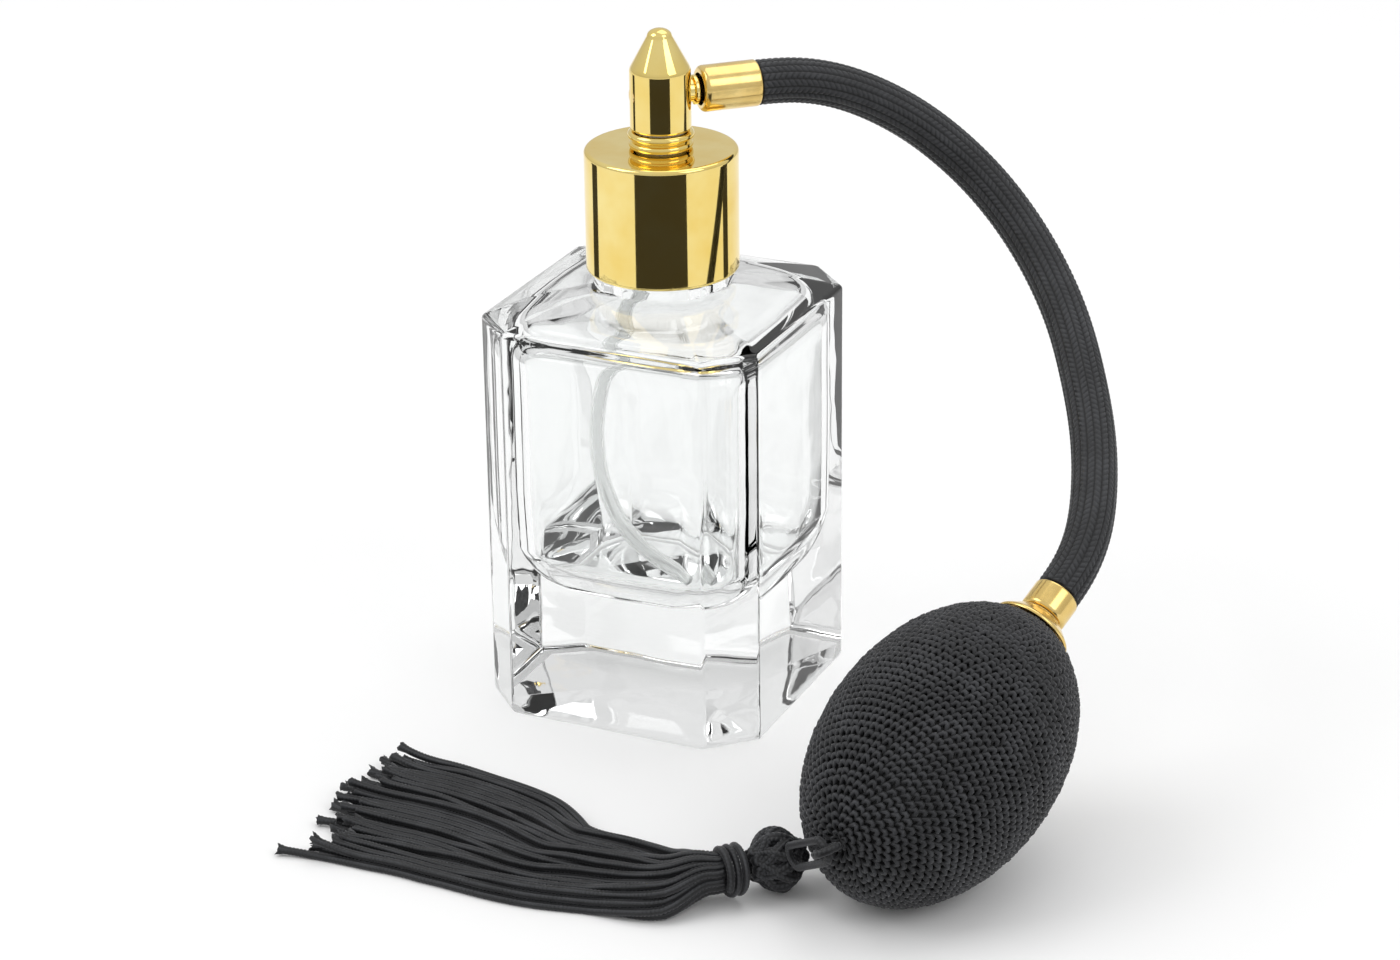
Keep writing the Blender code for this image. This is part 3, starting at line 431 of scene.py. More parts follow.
for reach, height in (
    (GLASS_STEP_RADIUS, GLASS_STEP[0] + 0.0003),
    (GLASS_STEP_RADIUS, GLASS_STEP[1] - 0.0005),
    (GLASS_STEP_RADIUS - 0.00015, GLASS_STEP[1] - 0.00015),
    (GLASS_STEP_RADIUS - 0.0005, GLASS_STEP[1]),
    (NECK_RADIUS + 0.0003, GLASS_STEP[1]),
    (NECK_RADIUS, GLASS_STEP[1] + 0.0003),
    (NECK_RADIUS, bottle_high.z - 0.0005),
    (NECK_RADIUS - 0.00015, bottle_high.z - 0.00015),
    (NECK_RADIUS - 0.0005, bottle_high.z),
    (NECK_BORE + 0.0005, bottle_high.z),
    (NECK_BORE + 0.00015, bottle_high.z - 0.00015),
    (NECK_BORE, bottle_high.z - 0.0005),
    (NECK_BORE, CAVITY_CEILING + 0.0040),
    (NECK_BORE + 0.0002, CAVITY_CEILING + 0.0030),
    (NECK_BORE + 0.0009, CAVITY_CEILING + 0.0021),
    (NECK_BORE + 0.0022, CAVITY_CEILING + 0.0013),
    (NECK_BORE + 0.0044, CAVITY_CEILING + 0.0007),
):
    glass_rings.append(level(round_outline(reach), height))
for share, drop, squareness in (
    (0.60, 0.0002, 2.8),
    (0.78, -0.0001, 3.8),
    (0.88, -0.0005, 4.4),
    (0.94, -0.0011, 4.8),
    (0.98, -0.0020, CAVITY_SQUARENESS),
    (1.00, -0.0034, CAVITY_SQUARENESS),
    (1.00, -0.0050, CAVITY_SQUARENESS),
    (1.00, -0.0140, CAVITY_SQUARENESS),
    (1.00, -0.0240, CAVITY_SQUARENESS),
):
    reach = NECK_BORE + (CAVITY_HALF - NECK_BORE) * share
    glass_rings.append(level(round_outline(reach, squareness), CAVITY_CEILING + drop))
for step in range(1, 10):
    angle = math.pi / 2 * step / 9
    reach = CAVITY_HALF - CAVITY_CORNER * (1 - math.cos(angle))
    height = CAVITY_FLOOR + CAVITY_CORNER * (1 - math.sin(angle))
    squareness = CAVITY_SQUARENESS - (CAVITY_SQUARENESS - FLOOR_SQUARENESS) * step / 9
    glass_rings.append(level(round_outline(reach, squareness), height))
for share in (0.75, 0.5, 0.25, 0.03):
    reach = (CAVITY_HALF - CAVITY_CORNER) * share
    rise = 0.0009 * (1 - share**2) ** 2
    squareness = 2 + (FLOOR_SQUARENESS - 2) * share
    glass_rings.append(level(round_outline(reach, squareness), CAVITY_FLOOR + rise))
bottle_glass = ringed_mesh("bottle_glass", np.array(glass_rings))

thread_steps = round(THREAD_TURNS * 72)
thread_turn = np.linspace(0, THREAD_TURNS * 2 * math.pi, thread_steps + 1)
thread_fade = np.clip(np.minimum(thread_turn, thread_turn[-1] - thread_turn) / THREAD_FADE, 0, 1)
thread_rings = []
for turn, fade in zip(thread_turn, thread_fade):
    height = GLASS_STEP[1] + THREAD_START + THREAD_PITCH * turn / (2 * math.pi)
    ring = []
    for out, up in THREAD_SECTION:
        reach = NECK_RADIUS - THREAD_SUNK + THREAD_DEPTH * max(out, -0.2) * fade
        ring.append((reach * math.cos(turn), reach * math.sin(turn), height + THREAD_WIDTH * up))
    thread_rings.append(ring)
neck_thread = ringed_mesh("neck_thread", np.array(thread_rings))


def only(*pieces):
    """Select these pieces alone, the first one active."""
    bpy.ops.object.select_all(action="DESELECT")
    for piece in pieces:
        piece.select_set(True)
    bpy.context.view_layer.objects.active = pieces[0]


def add_applied(piece, kind, **values):
    """Add a modifier to a piece and apply it."""
    only(piece)
    bpy.ops.object.modifier_add(type=kind)
    modifier = piece.modifiers[-1]
    for name, value in values.items():
        setattr(modifier, name, value)
    bpy.ops.object.modifier_apply(modifier=modifier.name)


def faces_out(piece):
    """Turn every face of a piece outwards."""
    only(piece)
    bpy.ops.object.mode_set(mode="EDIT")
    bpy.ops.mesh.select_all(action="SELECT")
    bpy.ops.mesh.normals_make_consistent(inside=False)
    bpy.ops.object.mode_set(mode="OBJECT")


for piece in (bottle_glass, neck_thread):
    faces_out(piece)
add_applied(bottle_glass, "BOOLEAN", object=neck_thread, operation="UNION", solver="EXACT")
bpy.data.objects.remove(neck_thread)
add_applied(bottle_glass, "WEIGHTED_NORMAL", weight=80, keep_sharp=False)

# The glass group gives the faint ripple that a press leaves in thick glass.
glass_group, given, results = group_with(
    "pressed_glass", [("Place", "Vector")], [("Ripple", "Float"), ("Haze", "Float")]
)
ripple = new_node(glass_group, "ShaderNodeTexNoise", Scale=110.0, Detail=1.5, Roughness=0.4)
haze = new_node(glass_group, "ShaderNodeTexNoise", Scale=420.0, Detail=4.0, Roughness=0.6)
haze_range = new_node(glass_group, "ShaderNodeMapRange", From_Min=0.45, From_Max=0.8, To_Max=0.03)
wire(
    glass_group,
    (given, "Place", ripple, "Vector"),
    (given, "Place", haze, "Vector"),
    (haze, "Fac", haze_range, "Value"),
    (ripple, "Fac", results, "Ripple"),
    (haze_range, "Result", results, "Haze"),
)


def clear_material(name, tint, roughness, ripple_depth, ior=1.5, transmission=1.0):
    """Clear glass or plastic with a faint ripple in its surface."""
    made, tree, shader = new_material(name)
    shader.inputs["Base Color"].default_value = (*tint, 1.0)
    shader.inputs["Transmission Weight"].default_value = transmission
    shader.inputs["IOR"].default_value = ior
    place = new_node(tree, "ShaderNodeTexCoord")
    surface = new_node(tree, "ShaderNodeGroup", node_tree=glass_group)
    rough = new_node(tree, "ShaderNodeMath", operation="ADD")
    rough.inputs[1].default_value = roughness
    bump = new_node(tree, "ShaderNodeBump", Strength=0.35, Distance=ripple_depth)
    wire(
        tree,
        (place, "Object", surface, "Place"),
        (surface, "Haze", rough, 0),
        (rough, "Value", shader, "Roughness"),
        (surface, "Ripple", bump, "Height"),
        (bump, "Normal", shader, "Normal"),
    )
    return made


bottle_glass.data.materials.clear()
bottle_glass.data.materials.append(
    clear_material("clear_glass", (0.962, 0.972, 0.970), 0.0, 0.0003)
)
bottle_glass.visible_shadow = False
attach(bottle_glass, "bottle")
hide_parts("bottle")

# Dip tube. A soft clear plastic tube, pushed up into the head's socket and bowed against the glass.
# Its foot runs down at a slant and ends square across the tube.
DIP_RADIUS = 0.0012
DIP_BORE = 0.0007
_, dip_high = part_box("dip_tube")
DIP_STOPS = (
    (0.0, 0.0, dip_high.z),
    (0.0, 0.0, 0.0740),
    (-0.0016, -0.0008, 0.0651),
    (-0.0068, -0.0040, 0.0507),
    (-0.0064, -0.0076, 0.0363),
    (0.0027, -0.0104, 0.0258),
    (0.0109, -0.0109, 0.0221),
)
dip_path = smooth_curve(DIP_STOPS, 0.0008, (0, 0, -1), (0.8, -0.2, -0.4))
across, upward = across_path(dip_path)
dip_rings = []
for reach, order in ((DIP_RADIUS, 1), (DIP_BORE, -1)):
    angles = np.linspace(0, 2 * math.pi, 25)[:-1]
    way = across[:, None] * np.cos(angles)[None, :, None]
    way = way + upward[:, None] * np.sin(angles)[None, :, None]
    dip_rings.append((dip_path[:, None] + way * reach)[::order])
dip_tube = ringed_mesh("clear_dip_tube", np.concatenate(dip_rings), closed=True)
faces_out(dip_tube)
dip_tube.data.materials.append(
    clear_material("dip_tube_plastic", (0.96, 0.97, 0.965), 0.12, 0.00004, 1.45, 0.80)
)
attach(dip_tube, "dip")
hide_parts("dip_tube")

# Collar. Drawn aluminium with a bright gold finish, pressed over the plastic closure that screws
# down on the glass neck. Its top is flat, with a hole for the head's stem, and its edges are rounded.
GOLD = (0.90, 0.74, 0.30)
GOLD_DEEP = (0.84, 0.61, 0.16)
GILT_WALL = 0.0006
COLLAR_ROUND = 0.0006
STEM_HOLE = 0.0040

# The gilt group gives a polished skin: slow changes of colour, a faint wave, and a few fine pits.
gilt_group, given, results = group_with(
    "gilt",
    [("Place", "Vector"), ("Grain", "Vector")],
    [("Shade", "Float"), ("Wear", "Float"), ("Height", "Float")],
)
tint = new_node(gilt_group, "ShaderNodeTexNoise", Scale=120.0, Detail=3.0, Roughness=0.55)
wear = new_node(gilt_group, "ShaderNodeTexNoise", Scale=700.0, Detail=5.0, Roughness=0.7)
pits = new_node(gilt_group, "ShaderNodeTexVoronoi", Scale=260.0)
pit_depth = new_node(gilt_group, "ShaderNodeMapRange", From_Max=0.08, To_Min=-1.0, To_Max=0.0)
drawn = new_node(gilt_group, "ShaderNodeMapping")
lines = new_node(gilt_group, "ShaderNodeTexNoise", Scale=300.0, Detail=3.0, Roughness=0.5)
heights = new_node(gilt_group, "ShaderNodeMath", operation="ADD")
wire(
    gilt_group,
    (given, "Place", tint, "Vector"),
    (given, "Place", wear, "Vector"),
    (given, "Place", pits, "Vector"),
    (given, "Place", drawn, "Vector"),
    (given, "Grain", drawn, "Scale"),
    (drawn, "Vector", lines, "Vector"),
    (pits, "Distance", pit_depth, "Value"),
    (lines, "Fac", heights, 0),
    (pit_depth, "Result", heights, 1),
    (tint, "Fac", results, "Shade"),
    (wear, "Fac", results, "Wear"),
    (heights, "Value", results, "Height"),
)


def gilt_material(name, light, deep, roughness, grain, depth):
    """Bright gold metal. Grain stretches its drawing lines, and depth is how deep they are."""
    made, tree, shader = new_material(name)
    shader.inputs["Metallic"].default_value = 1.0
    place = new_node(tree, "ShaderNodeTexCoord")
    gilt = new_node(tree, "ShaderNodeGroup", node_tree=gilt_group)
    gilt.inputs["Grain"].default_value = grain
    colour = mixed_colour(tree, deep, light)
    range_of = new_node(tree, "ShaderNodeMapRange", From_Min=0.3, From_Max=0.7)
    rough = new_node(tree, "ShaderNodeMapRange", From_Min=0.35, From_Max=0.8)
    rough.inputs["To Min"].default_value = roughness
    rough.inputs["To Max"].default_value = roughness * 2.2
    bump = new_node(tree, "ShaderNodeBump", Strength=0.4, Distance=depth)
    wire(
        tree,
        (place, "Object", gilt, "Place"),
        (gilt, "Shade", range_of, "Value"),
        (range_of, "Result", colour, "Factor"),
        (colour, "Result", shader, "Base Color"),
        (gilt, "Wear", rough, "Value"),
        (rough, "Result", shader, "Roughness"),
        (gilt, "Height", bump, "Height"),
        (bump, "Normal", shader, "Normal"),
    )
    return made


SUPPORT_REACH = 0.00012
LONG_RUN = 0.0009


def arc(across, up, reach, rise, degrees):
    """Points of an outline on a round about a centre, one at each angle."""
    angles = [math.radians(angle) for angle in degrees]
    return [(across + reach * math.cos(a), up + rise * math.sin(a)) for a in angles]


def supported(outline):
    """The same outline with a point close to each end of its long runs, which keeps them true."""
    full = []
    for here, there in zip(outline, outline[1:] + outline[:1]):
        full.append(here)
        run = math.dist(here, there)
        if run > LONG_RUN:
            for share in (SUPPORT_REACH / run, 1 - SUPPORT_REACH / run):
                full.append(tuple(a + (b - a) * share for a, b in zip(here, there)))
    return full


def turned_piece(name, outline, material, steps=96, frame_at=None):
    """A turned piece: a circle drawn out along its outline and closed on itself."""
    outline = supported(outline)
    bpy.ops.object.select_all(action="DESELECT")
    bpy.ops.mesh.primitive_circle_add(vertices=steps, radius=outline[0][0])
    piece = bpy.context.object
    piece.name = name
    piece.data.name = name
    bpy.ops.object.mode_set(mode="EDIT")
    bpy.ops.mesh.select_all(action="SELECT")
    bpy.ops.transform.translate(value=(0, 0, outline[0][1]))
    for (reach, height), (reach_next, height_next) in zip(outline, outline[1:] + outline[:1]):
        grow = reach_next / reach
        bpy.ops.mesh.extrude_edges_move(
            TRANSFORM_OT_translate={"value": (0, 0, height_next - height)}
        )
        bpy.ops.transform.resize(value=(grow, grow, 1), center_override=(0, 0, height_next))
    bpy.ops.mesh.select_all(action="SELECT")
    bpy.ops.mesh.remove_doubles(threshold=0.000004)
    bpy.ops.mesh.normals_make_consistent(inside=False)
    bpy.ops.object.mode_set(mode="OBJECT")
    only(piece)
    bpy.ops.object.shade_smooth_by_angle(angle=math.radians(50))
    if frame_at is not None:
        piece.data.transform(frame_at)
    piece.data.materials.clear()
    piece.data.materials.append(material)
    return piece


gilt_bright = gilt_material("gilt_bright", GOLD, GOLD_DEEP, 0.035, (1.0, 1.0, 0.12), 0.0000025)
gilt_satin = gilt_material(
    "gilt_satin", (0.86, 0.66, 0.27), (0.74, 0.50, 0.15), 0.13, (1, 1, 1), 0.000006
)

collar_low, collar_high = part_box("collar_shell")
collar_radius = (collar_high.x - collar_low.x) / 2
collar_outline = [(STEM_HOLE, collar_high.z - GILT_WALL), (STEM_HOLE, collar_high.z)]
collar_outline += arc(
    collar_radius - COLLAR_ROUND,
    collar_high.z - COLLAR_ROUND,
    COLLAR_ROUND,
    COLLAR_ROUND,
    range(90, -1, -15),
)
collar_outline += [(collar_radius, collar_low.z + 0.0003), (collar_radius - 0.0002, collar_low.z)]
collar_outline += [(collar_radius - GILT_WALL, collar_low.z)]
collar_outline += [(collar_radius - GILT_WALL, collar_high.z - GILT_WALL)]
gilt_collar = turned_piece("gilt_collar", collar_outline, gilt_bright, steps=128)
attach(gilt_collar, "collar")
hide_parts("collar_shell")

# Spray head. A slim gilt tower with a pointed cone and a small round tip. It stands on a beaded ring,
# and the hose's brass nipple goes into its side. The jet's notch is on the far side.
TOWER_RADIUS = 0.00445
TIP_RADIUS = 0.0018
TIP_RISE = 0.0011
CONE_HEIGHT = 0.0048
JET_RADIUS = 0.0012
JET_FACE = 0.0011
JET_BORE = 0.0002
NIPPLE_RADIUS = 0.0017
NIPPLE_BORE = 0.0009


def reach_along(node, place, way):
    """How far a CAD node reaches each way along a line, at its nearest and its furthest."""
    along = [(point.co - place).dot(way) for point in bpy.data.objects[node].data.vertices]
    return min(along), max(along)


shell_low, shell_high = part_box("head_shell")
cone_top = shell_high.z - TIP_RISE
cone_base = cone_top - CONE_HEIGHT
tower_outline = [(STEM_HOLE - 0.0002, cone_base), (STEM_HOLE - 0.0002, shell_low.z)]
tower_outline += [(TOWER_RADIUS - 0.0001, shell_low.z), (TOWER_RADIUS, shell_low.z + 0.0002)]
tower_outline += [(TOWER_RADIUS, cone_base - 0.0003), (TOWER_RADIUS - 0.00006, cone_base)]
tower_outline += [(TOWER_RADIUS - 0.0002, cone_base + 0.0003)]
tower_outline += [(TIP_RADIUS + 0.00005, cone_top - 0.0001)]
tower_outline += arc(0.0, cone_top, TIP_RADIUS, TIP_RISE, range(10, 90, 13))
tower_outline += [(0.00002, shell_high.z), (0.00002, cone_top), (TIP_RADIUS - 0.0004, cone_top)]
gilt_tower = turned_piece("gilt_tower", tower_outline, gilt_bright)

ring_low, ring_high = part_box("foot_ring")
bead = ring_high.z - ring_low.z
ring_outline = [(STEM_HOLE, ring_low.z)]
for out, share in (
    (0.10, 0.00), (0.20, 0.06), (0.25, 0.16), (0.22, 0.28), (0.05, 0.36), (-0.15, 0.40), (-0.15, 0.50),
    (0.05, 0.54), (0.28, 0.60), (0.40, 0.70), (0.40, 0.80), (0.30, 0.90), (0.10, 0.97), (-0.02, 1.00),
):
    ring_outline.append((TOWER_RADIUS + out / 1000, ring_low.z + bead * share))
ring_outline.append((STEM_HOLE, ring_high.z))
gilt_foot_ring = turned_piece("gilt_foot_ring", ring_outline, gilt_bright)

port_turn = port_way.to_track_quat("Z", "Y").to_matrix().to_4x4()
port_frame = Matrix.Translation(port_place) @ port_turn
jet_outline = [(JET_BORE, -0.00425), (JET_BORE, -0.0044), (JET_FACE, -0.0044)]
jet_outline += [(JET_RADIUS, -0.0042), (JET_RADIUS, -0.0034), (JET_BORE, -0.0034)]
jet = turned_piece("spray_jet", jet_outline, gilt_satin, 40, port_frame)
port_root, port_tip = reach_along("port_nipple", port_place, port_way)
nipple_outline = [(NIPPLE_BORE, port_root), (NIPPLE_RADIUS, port_root), (NIPPLE_RADIUS, 0.0047)]
nipple_outline += [(0.00215, 0.0049), (0.0022, 0.0053), (0.0020, 0.0056), (NIPPLE_RADIUS, 0.0058)]
nipple_outline += [(NIPPLE_RADIUS, port_tip), (NIPPLE_BORE, port_tip)]
gilt_nipple = turned_piece("port_collar", nipple_outline, gilt_bright, 64, port_frame)
for piece, nodes in (
    (gilt_tower, ["head_shell"]),
    (gilt_foot_ring, ["foot_ring"]),
    (jet, ["nozzle_insert"]),
    (gilt_nipple, ["port_nipple"]),
):
    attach(piece, "head")
    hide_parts(*nodes)

# Ferrules. Two drawn brass tubes crimped over the hose's ends, a little duller than the collar, and
# the domed brass cap that closes the net round the bulb's neck.
FERRULE_RADIUS = 0.0034
FERRULE_BORE = 0.00305
FERRULE_CURL = 0.0007
CAP_RADIUS = 0.0058
CAP_RISE = 0.0026


def ferrule_piece(name, start, length, frame_at):
    """A ferrule: a thin tube with a rounded shoulder turned in at its start."""
    outline = [(0.0024, start + 0.00035), (0.0024, start)]
    curl_across, curl_up = FERRULE_RADIUS - FERRULE_CURL, start + FERRULE_CURL
    outline += arc(curl_across, curl_up, FERRULE_CURL, FERRULE_CURL, range(-90, 1, 15))
    outline += [(FERRULE_RADIUS, start + length - 0.00015), (FERRULE_RADIUS - 0.0001, start + length)]
    outline += [(FERRULE_BORE, start + length), (FERRULE_BORE, start + 0.0007)]
    return turned_piece(name, outline, gilt_satin, 80, frame_at)


bulb_place = centre_of("bulb_net")
bulb_turn = bulb_way.to_track_quat("Z", "Y").to_matrix().to_4x4()
bulb_frame = Matrix.Translation(bulb_place) @ bulb_turn
start, end = reach_along("upper_ferrule", port_place, port_way)
upper_ferrule = ferrule_piece("brass_upper_ferrule", start, end - start, port_frame)
start, end = reach_along("lower_ferrule", bulb_place, bulb_way)
lower_ferrule = ferrule_piece("brass_lower_ferrule", start, end - start, bulb_frame)
_, cap_top = reach_along("bulb_cap", bulb_place, bulb_way)
cap_rim = cap_top - CAP_RISE
cap_outline = [(0.0029, cap_rim + 0.0012), (0.0047, cap_rim + 0.0005), (CAP_RADIUS - 0.0002, cap_rim)]
for out, up in (
    (5.74, 0.02), (5.80, 0.12), (5.80, 0.36), (5.70, 0.52), (5.46, 0.76), (5.10, 1.10), (4.70, 1.48),
    (4.30, 1.86), (3.95, 2.16), (3.70, 2.34), (3.55, 2.44), (3.48, 2.60), (2.90, 2.60),
):
    cap_outline.append((out / 1000, cap_rim + up / 1000))
brass_cap = turned_piece("brass_bulb_cap", cap_outline, gilt_satin, 96, bulb_frame)
for piece, body_name, node in (
    (upper_ferrule, "head", "upper_ferrule"),
    (lower_ferrule, "bulb", "lower_ferrule"),
    (brass_cap, "bulb", "bulb_cap"),
):
    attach(piece, body_name)
    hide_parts(node)

# Bulb. A black rubber bulb in a close crocheted net of polyester yarn. Each row of the net is a ring
# of small arched stitches, from the neck under the cap to the gathered tail.
BULB_RADIUS = 0.01645
BULB_HALF_LENGTH = 0.0238
NET_ROW = 0.00120
NET_STITCH = 0.00108
NET_YARN = 0.00037
NET_DEPTH = 0.00062

chance = np.random.default_rng(7)
tail_place = bulb_frame.inverted() @ centre_of("tail_eye")
bulb_sizes = (BULB_RADIUS, BULB_RADIUS, BULB_HALF_LENGTH)
tail_pole = Vector([place / size for place, size in zip(tail_place, bulb_sizes)])
tail_axis = Vector((0, 0, -1)).cross(tail_pole).normalized()
tail_turn = Vector((0, 0, -1)).angle(tail_pole)


def bulb_skin(share, around, lift):
    """Points and outward directions on the bulb's skin. Share runs from the neck to the tail."""
    theta = math.pi * share
    way = np.stack([np.sin(theta) * np.cos(around), np.sin(theta) * np.sin(around), np.cos(theta)], -1)
    axis = np.array(tail_axis)
    turn = (tail_turn * share)[..., None]
    way = (
        way * np.cos(turn)
        + np.cross(axis, way) * np.sin(turn)
        + axis * (way @ axis)[..., None] * (1 - np.cos(turn))
    )
    sizes = np.array(bulb_sizes)
    out = way / sizes
    out /= np.linalg.norm(out, axis=-1)[..., None]
    points = way * sizes + out * lift[..., None]
    turn_to = np.array(bulb_frame.to_3x3())
    return points @ turn_to.T + np.array(bulb_place), out @ turn_to.T


shares = np.linspace(0, 1, 2001)
theta = math.pi * shares
stretch = np.hypot(BULB_RADIUS * np.cos(theta), BULB_HALF_LENGTH * np.sin(theta))
skin_length = np.concatenate([[0], np.cumsum((stretch[1:] + stretch[:-1]) / 2 * np.diff(theta))])
first_row = np.interp(math.asin(0.0050 / BULB_RADIUS) / math.pi, shares, skin_length)
last_row = np.interp(1 - math.asin(0.0008 / BULB_RADIUS) / math.pi, shares, skin_length)
row_count = round((last_row - first_row) / NET_ROW)
stitch_share, stitch_around, stitch_width = [], [], []
for row in range(row_count + 1):
    share = np.interp(first_row + (last_row - first_row) * row / row_count, skin_length, shares)
    girth = 2 * math.pi * BULB_RADIUS * math.sin(math.pi * share)
    count = max(7, round(girth / NET_STITCH))
    around = (np.arange(count) + 0.5 * (row % 2) + 0.23 * row) * 2 * math.pi / count
    around += chance.normal(0, 0.06, count) * 2 * math.pi / count
    stitch_share += [share + (NET_ROW * chance.normal(0, 0.05)) / skin_length[-1]] * count
    stitch_around += around.tolist()
    stitch_width += [2 * math.pi / count] * count
stitch_share, stitch_around, stitch_width = (
    np.array(values) for values in (stitch_share, stitch_around, stitch_width)
)
stitch_count = len(stitch_share)
along_stitch = np.linspace(0, 1, 6)
arch = np.sin(math.pi * along_stitch)
scatter = chance.normal(0, 1, (4, stitch_count))
across_stitch = (-0.66 + 1.32 * along_stitch)[None, :] + 0.05 * scatter[0][:, None]
up_stitch = (-0.42 + 0.92 * arch)[None, :] * (1 + 0.12 * scatter[1][:, None])
up_stitch = up_stitch + 0.25 * (along_stitch - 0.5)[None, :] * (1 + 0.6 * scatter[2][:, None])
lift = (0.00052 * arch - NET_DEPTH)[None, :] + 0.00004 * scatter[3][:, None]
row_share = NET_ROW / np.interp(stitch_share, shares, stretch) / math.pi
spine, outward = bulb_skin(
    np.clip(stitch_share[:, None] - up_stitch * row_share[:, None], 0.02, 0.999),
    stitch_around[:, None] + across_stitch * stitch_width[:, None],
    lift,
)
ahead = np.gradient(spine, axis=1)
ahead /= np.linalg.norm(ahead, axis=2)[..., None]
beside = np.cross(ahead, outward)
beside /= np.linalg.norm(beside, axis=2)[..., None]
outward = np.cross(beside, ahead)
girdle = np.linspace(0, 2 * math.pi, 7)[:-1]
fullness = stitch_width * BULB_RADIUS * np.sin(math.pi * stitch_share) / NET_STITCH
thick = NET_YARN * (0.62 + 0.38 * arch)
thick = thick[None, :] * np.clip(fullness, 0.7, 1.1)[:, None]
net_points = spine[:, :, None] + thick[..., None, None] * (
    beside[:, :, None] * np.cos(girdle)[None, None, :, None]
    + outward[:, :, None] * np.sin(girdle)[None, None, :, None]
)
corner = np.arange(stitch_count * 36).reshape(stitch_count, 6, 6)
net_faces = np.stack(
    [corner[:, :-1], np.roll(corner[:, :-1], -1, 2), np.roll(corner[:, 1:], -1, 2), corner[:, 1:]], -1
)
net_mesh = bpy.data.meshes.new("crocheted_net")
net_mesh.from_pydata(net_points.reshape(-1, 3).tolist(), [], net_faces.reshape(-1, 4).tolist())
net_mesh.shade_smooth()
net = bpy.data.objects.new("crocheted_net", net_mesh)
# Painted light on the net: each stitch's yarn is lighter on its outward side and darker on the side
# against the rubber and at its tucked ends, painted highlight and painted shade.
painted_outward_light = 0.30 + 0.70 * np.sin(girdle).clip(0, 1)
keep_relief_shade(net, np.broadcast_to(arch[None, :, None] * painted_outward_light[None, None, :], net_points.shape[:3]))
bpy.context.scene.collection.objects.link(net)
# The second colour is the painted highlight on the stitches; their ends and undersides take painted
# shade.
net.data.materials.append(
    yarn_material("net_yarn", BLACK_YARN, (0.088, 0.091, 0.102), 3600.0, 0.3, 0.55)
)

skin_share = np.linspace(0.055, 0.999, 49)
skin_around = np.linspace(0, 2 * math.pi, 65)[:-1]
skin_share, skin_around = np.meshgrid(skin_share, skin_around, indexing="ij")
skin_points, _ = bulb_skin(skin_share, skin_around, np.full(skin_share.shape, -NET_DEPTH))
rubber = ringed_mesh("rubber_under_net", skin_points)
faces_out(rubber)
keep_relief_shade(rubber, np.full(skin_share.shape, 0.4))
rubber.data.materials.append(
    yarn_material("bulb_rubber", (0.004, 0.004, 0.0045), (0.012, 0.012, 0.013), 900.0, 0.2, 0.6)
)
for piece, node, slot in ((net, "bulb_net", "net_cord"), (rubber, "rubber_bulb", "black_rubber")):
    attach(piece, "bulb")
    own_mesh(piece)
    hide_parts(node)

# Tail eye and tassel loop. Thin plaited black cord: a small ring sewn to the net's tail, and the
# tassel's own long ring that goes through it and is knotted into the tassel's head.
CORD_RADIUS = 0.00058
CORD_PAD = 0.00055
EYE_RADIUS = 0.0016
# The second colour is the painted highlight on the cord's pads; the gaps take painted shade.
cord_yarn = yarn_material("cord_yarn", BLACK_YARN, (0.092, 0.096, 0.106), 4200.0, 0.3, 0.5)


def plaited_cord(name, path, radius, columns, closed=False, per_column=4, frayed=False):
    """A plaited cord along evenly spaced points."""
    relief = radius * 0.30
    rings, pads, height = plaited_rings(path, radius, columns, CORD_PAD, relief, per_column, closed)
    if frayed:
        count = min(9, len(rings))
        opened = np.linspace(0, 1, count)[:, None, None]
        ends = chance.normal(0, 1, rings[-1].shape[:1])[None, :, None]
        rings[-count:] += (rings[-count:] - path[-count:, None]) * opened * (0.30 + 0.22 * ends)
        rings[-1] += (path[-1] - path[-2]) * ends[0] * 1.6
    cord = ringed_mesh(name, rings, columns, pads, closed)
    keep_relief_shade(cord, height)
    return cord


def evenly(path, spacing, closed=False):
    """The same path with its points a set distance apart."""
    path = np.array(path, float)
    if closed:
        path = np.concatenate([path, path[:1]])
    travelled = distances(path)
    places = np.linspace(0, travelled[-1], round(travelled[-1] / spacing) + 1)
    if closed:
        places = places[:-1]
    return np.stack([np.interp(places, travelled, path[:, k]) for k in range(3)], axis=1)


def ring_path(node, turn_radius):
    """The centre line of a CAD ring of cord: two half circles, apart by whatever its length leaves."""
    points = np.array([tuple(point.co) for point in bpy.data.objects[node].data.vertices])
    middle = (points.max(0) + points.min(0)) / 2
    ways = np.linalg.svd(points - points.mean(0), full_matrices=False)[2]
    along = (points - middle) @ ways[0]
    middle = middle + ways[0] * (along.max() + along.min()) / 2
    spread = (along.max() - along.min()) / 2 - CORD_RADIUS - turn_radius
    path = []
    for side, start in ((1, -90), (-1, 90)):
        for degrees in range(start, start + 181, 9):
            angle = math.radians(degrees)
            path.append(
                middle
                + ways[0] * (side * max(spread, 0) + turn_radius * math.cos(angle))
                + ways[1] * turn_radius * math.sin(angle)
            )
    return evenly(path, CORD_PAD / 5, closed=True)


tail_ring = plaited_cord("tail_eye_cord", ring_path("tail_eye", EYE_RADIUS), CORD_RADIUS, 4, True)
loop_ring = plaited_cord("tassel_loop_cord", ring_path("tassel_loop", EYE_RADIUS), CORD_RADIUS, 4, True)
for piece, body_name, node in ((tail_ring, "bulb", "tail_eye"), (loop_ring, "loop", "tassel_loop")):
    piece.data.materials.append(cord_yarn)
    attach(piece, body_name)
    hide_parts(node)

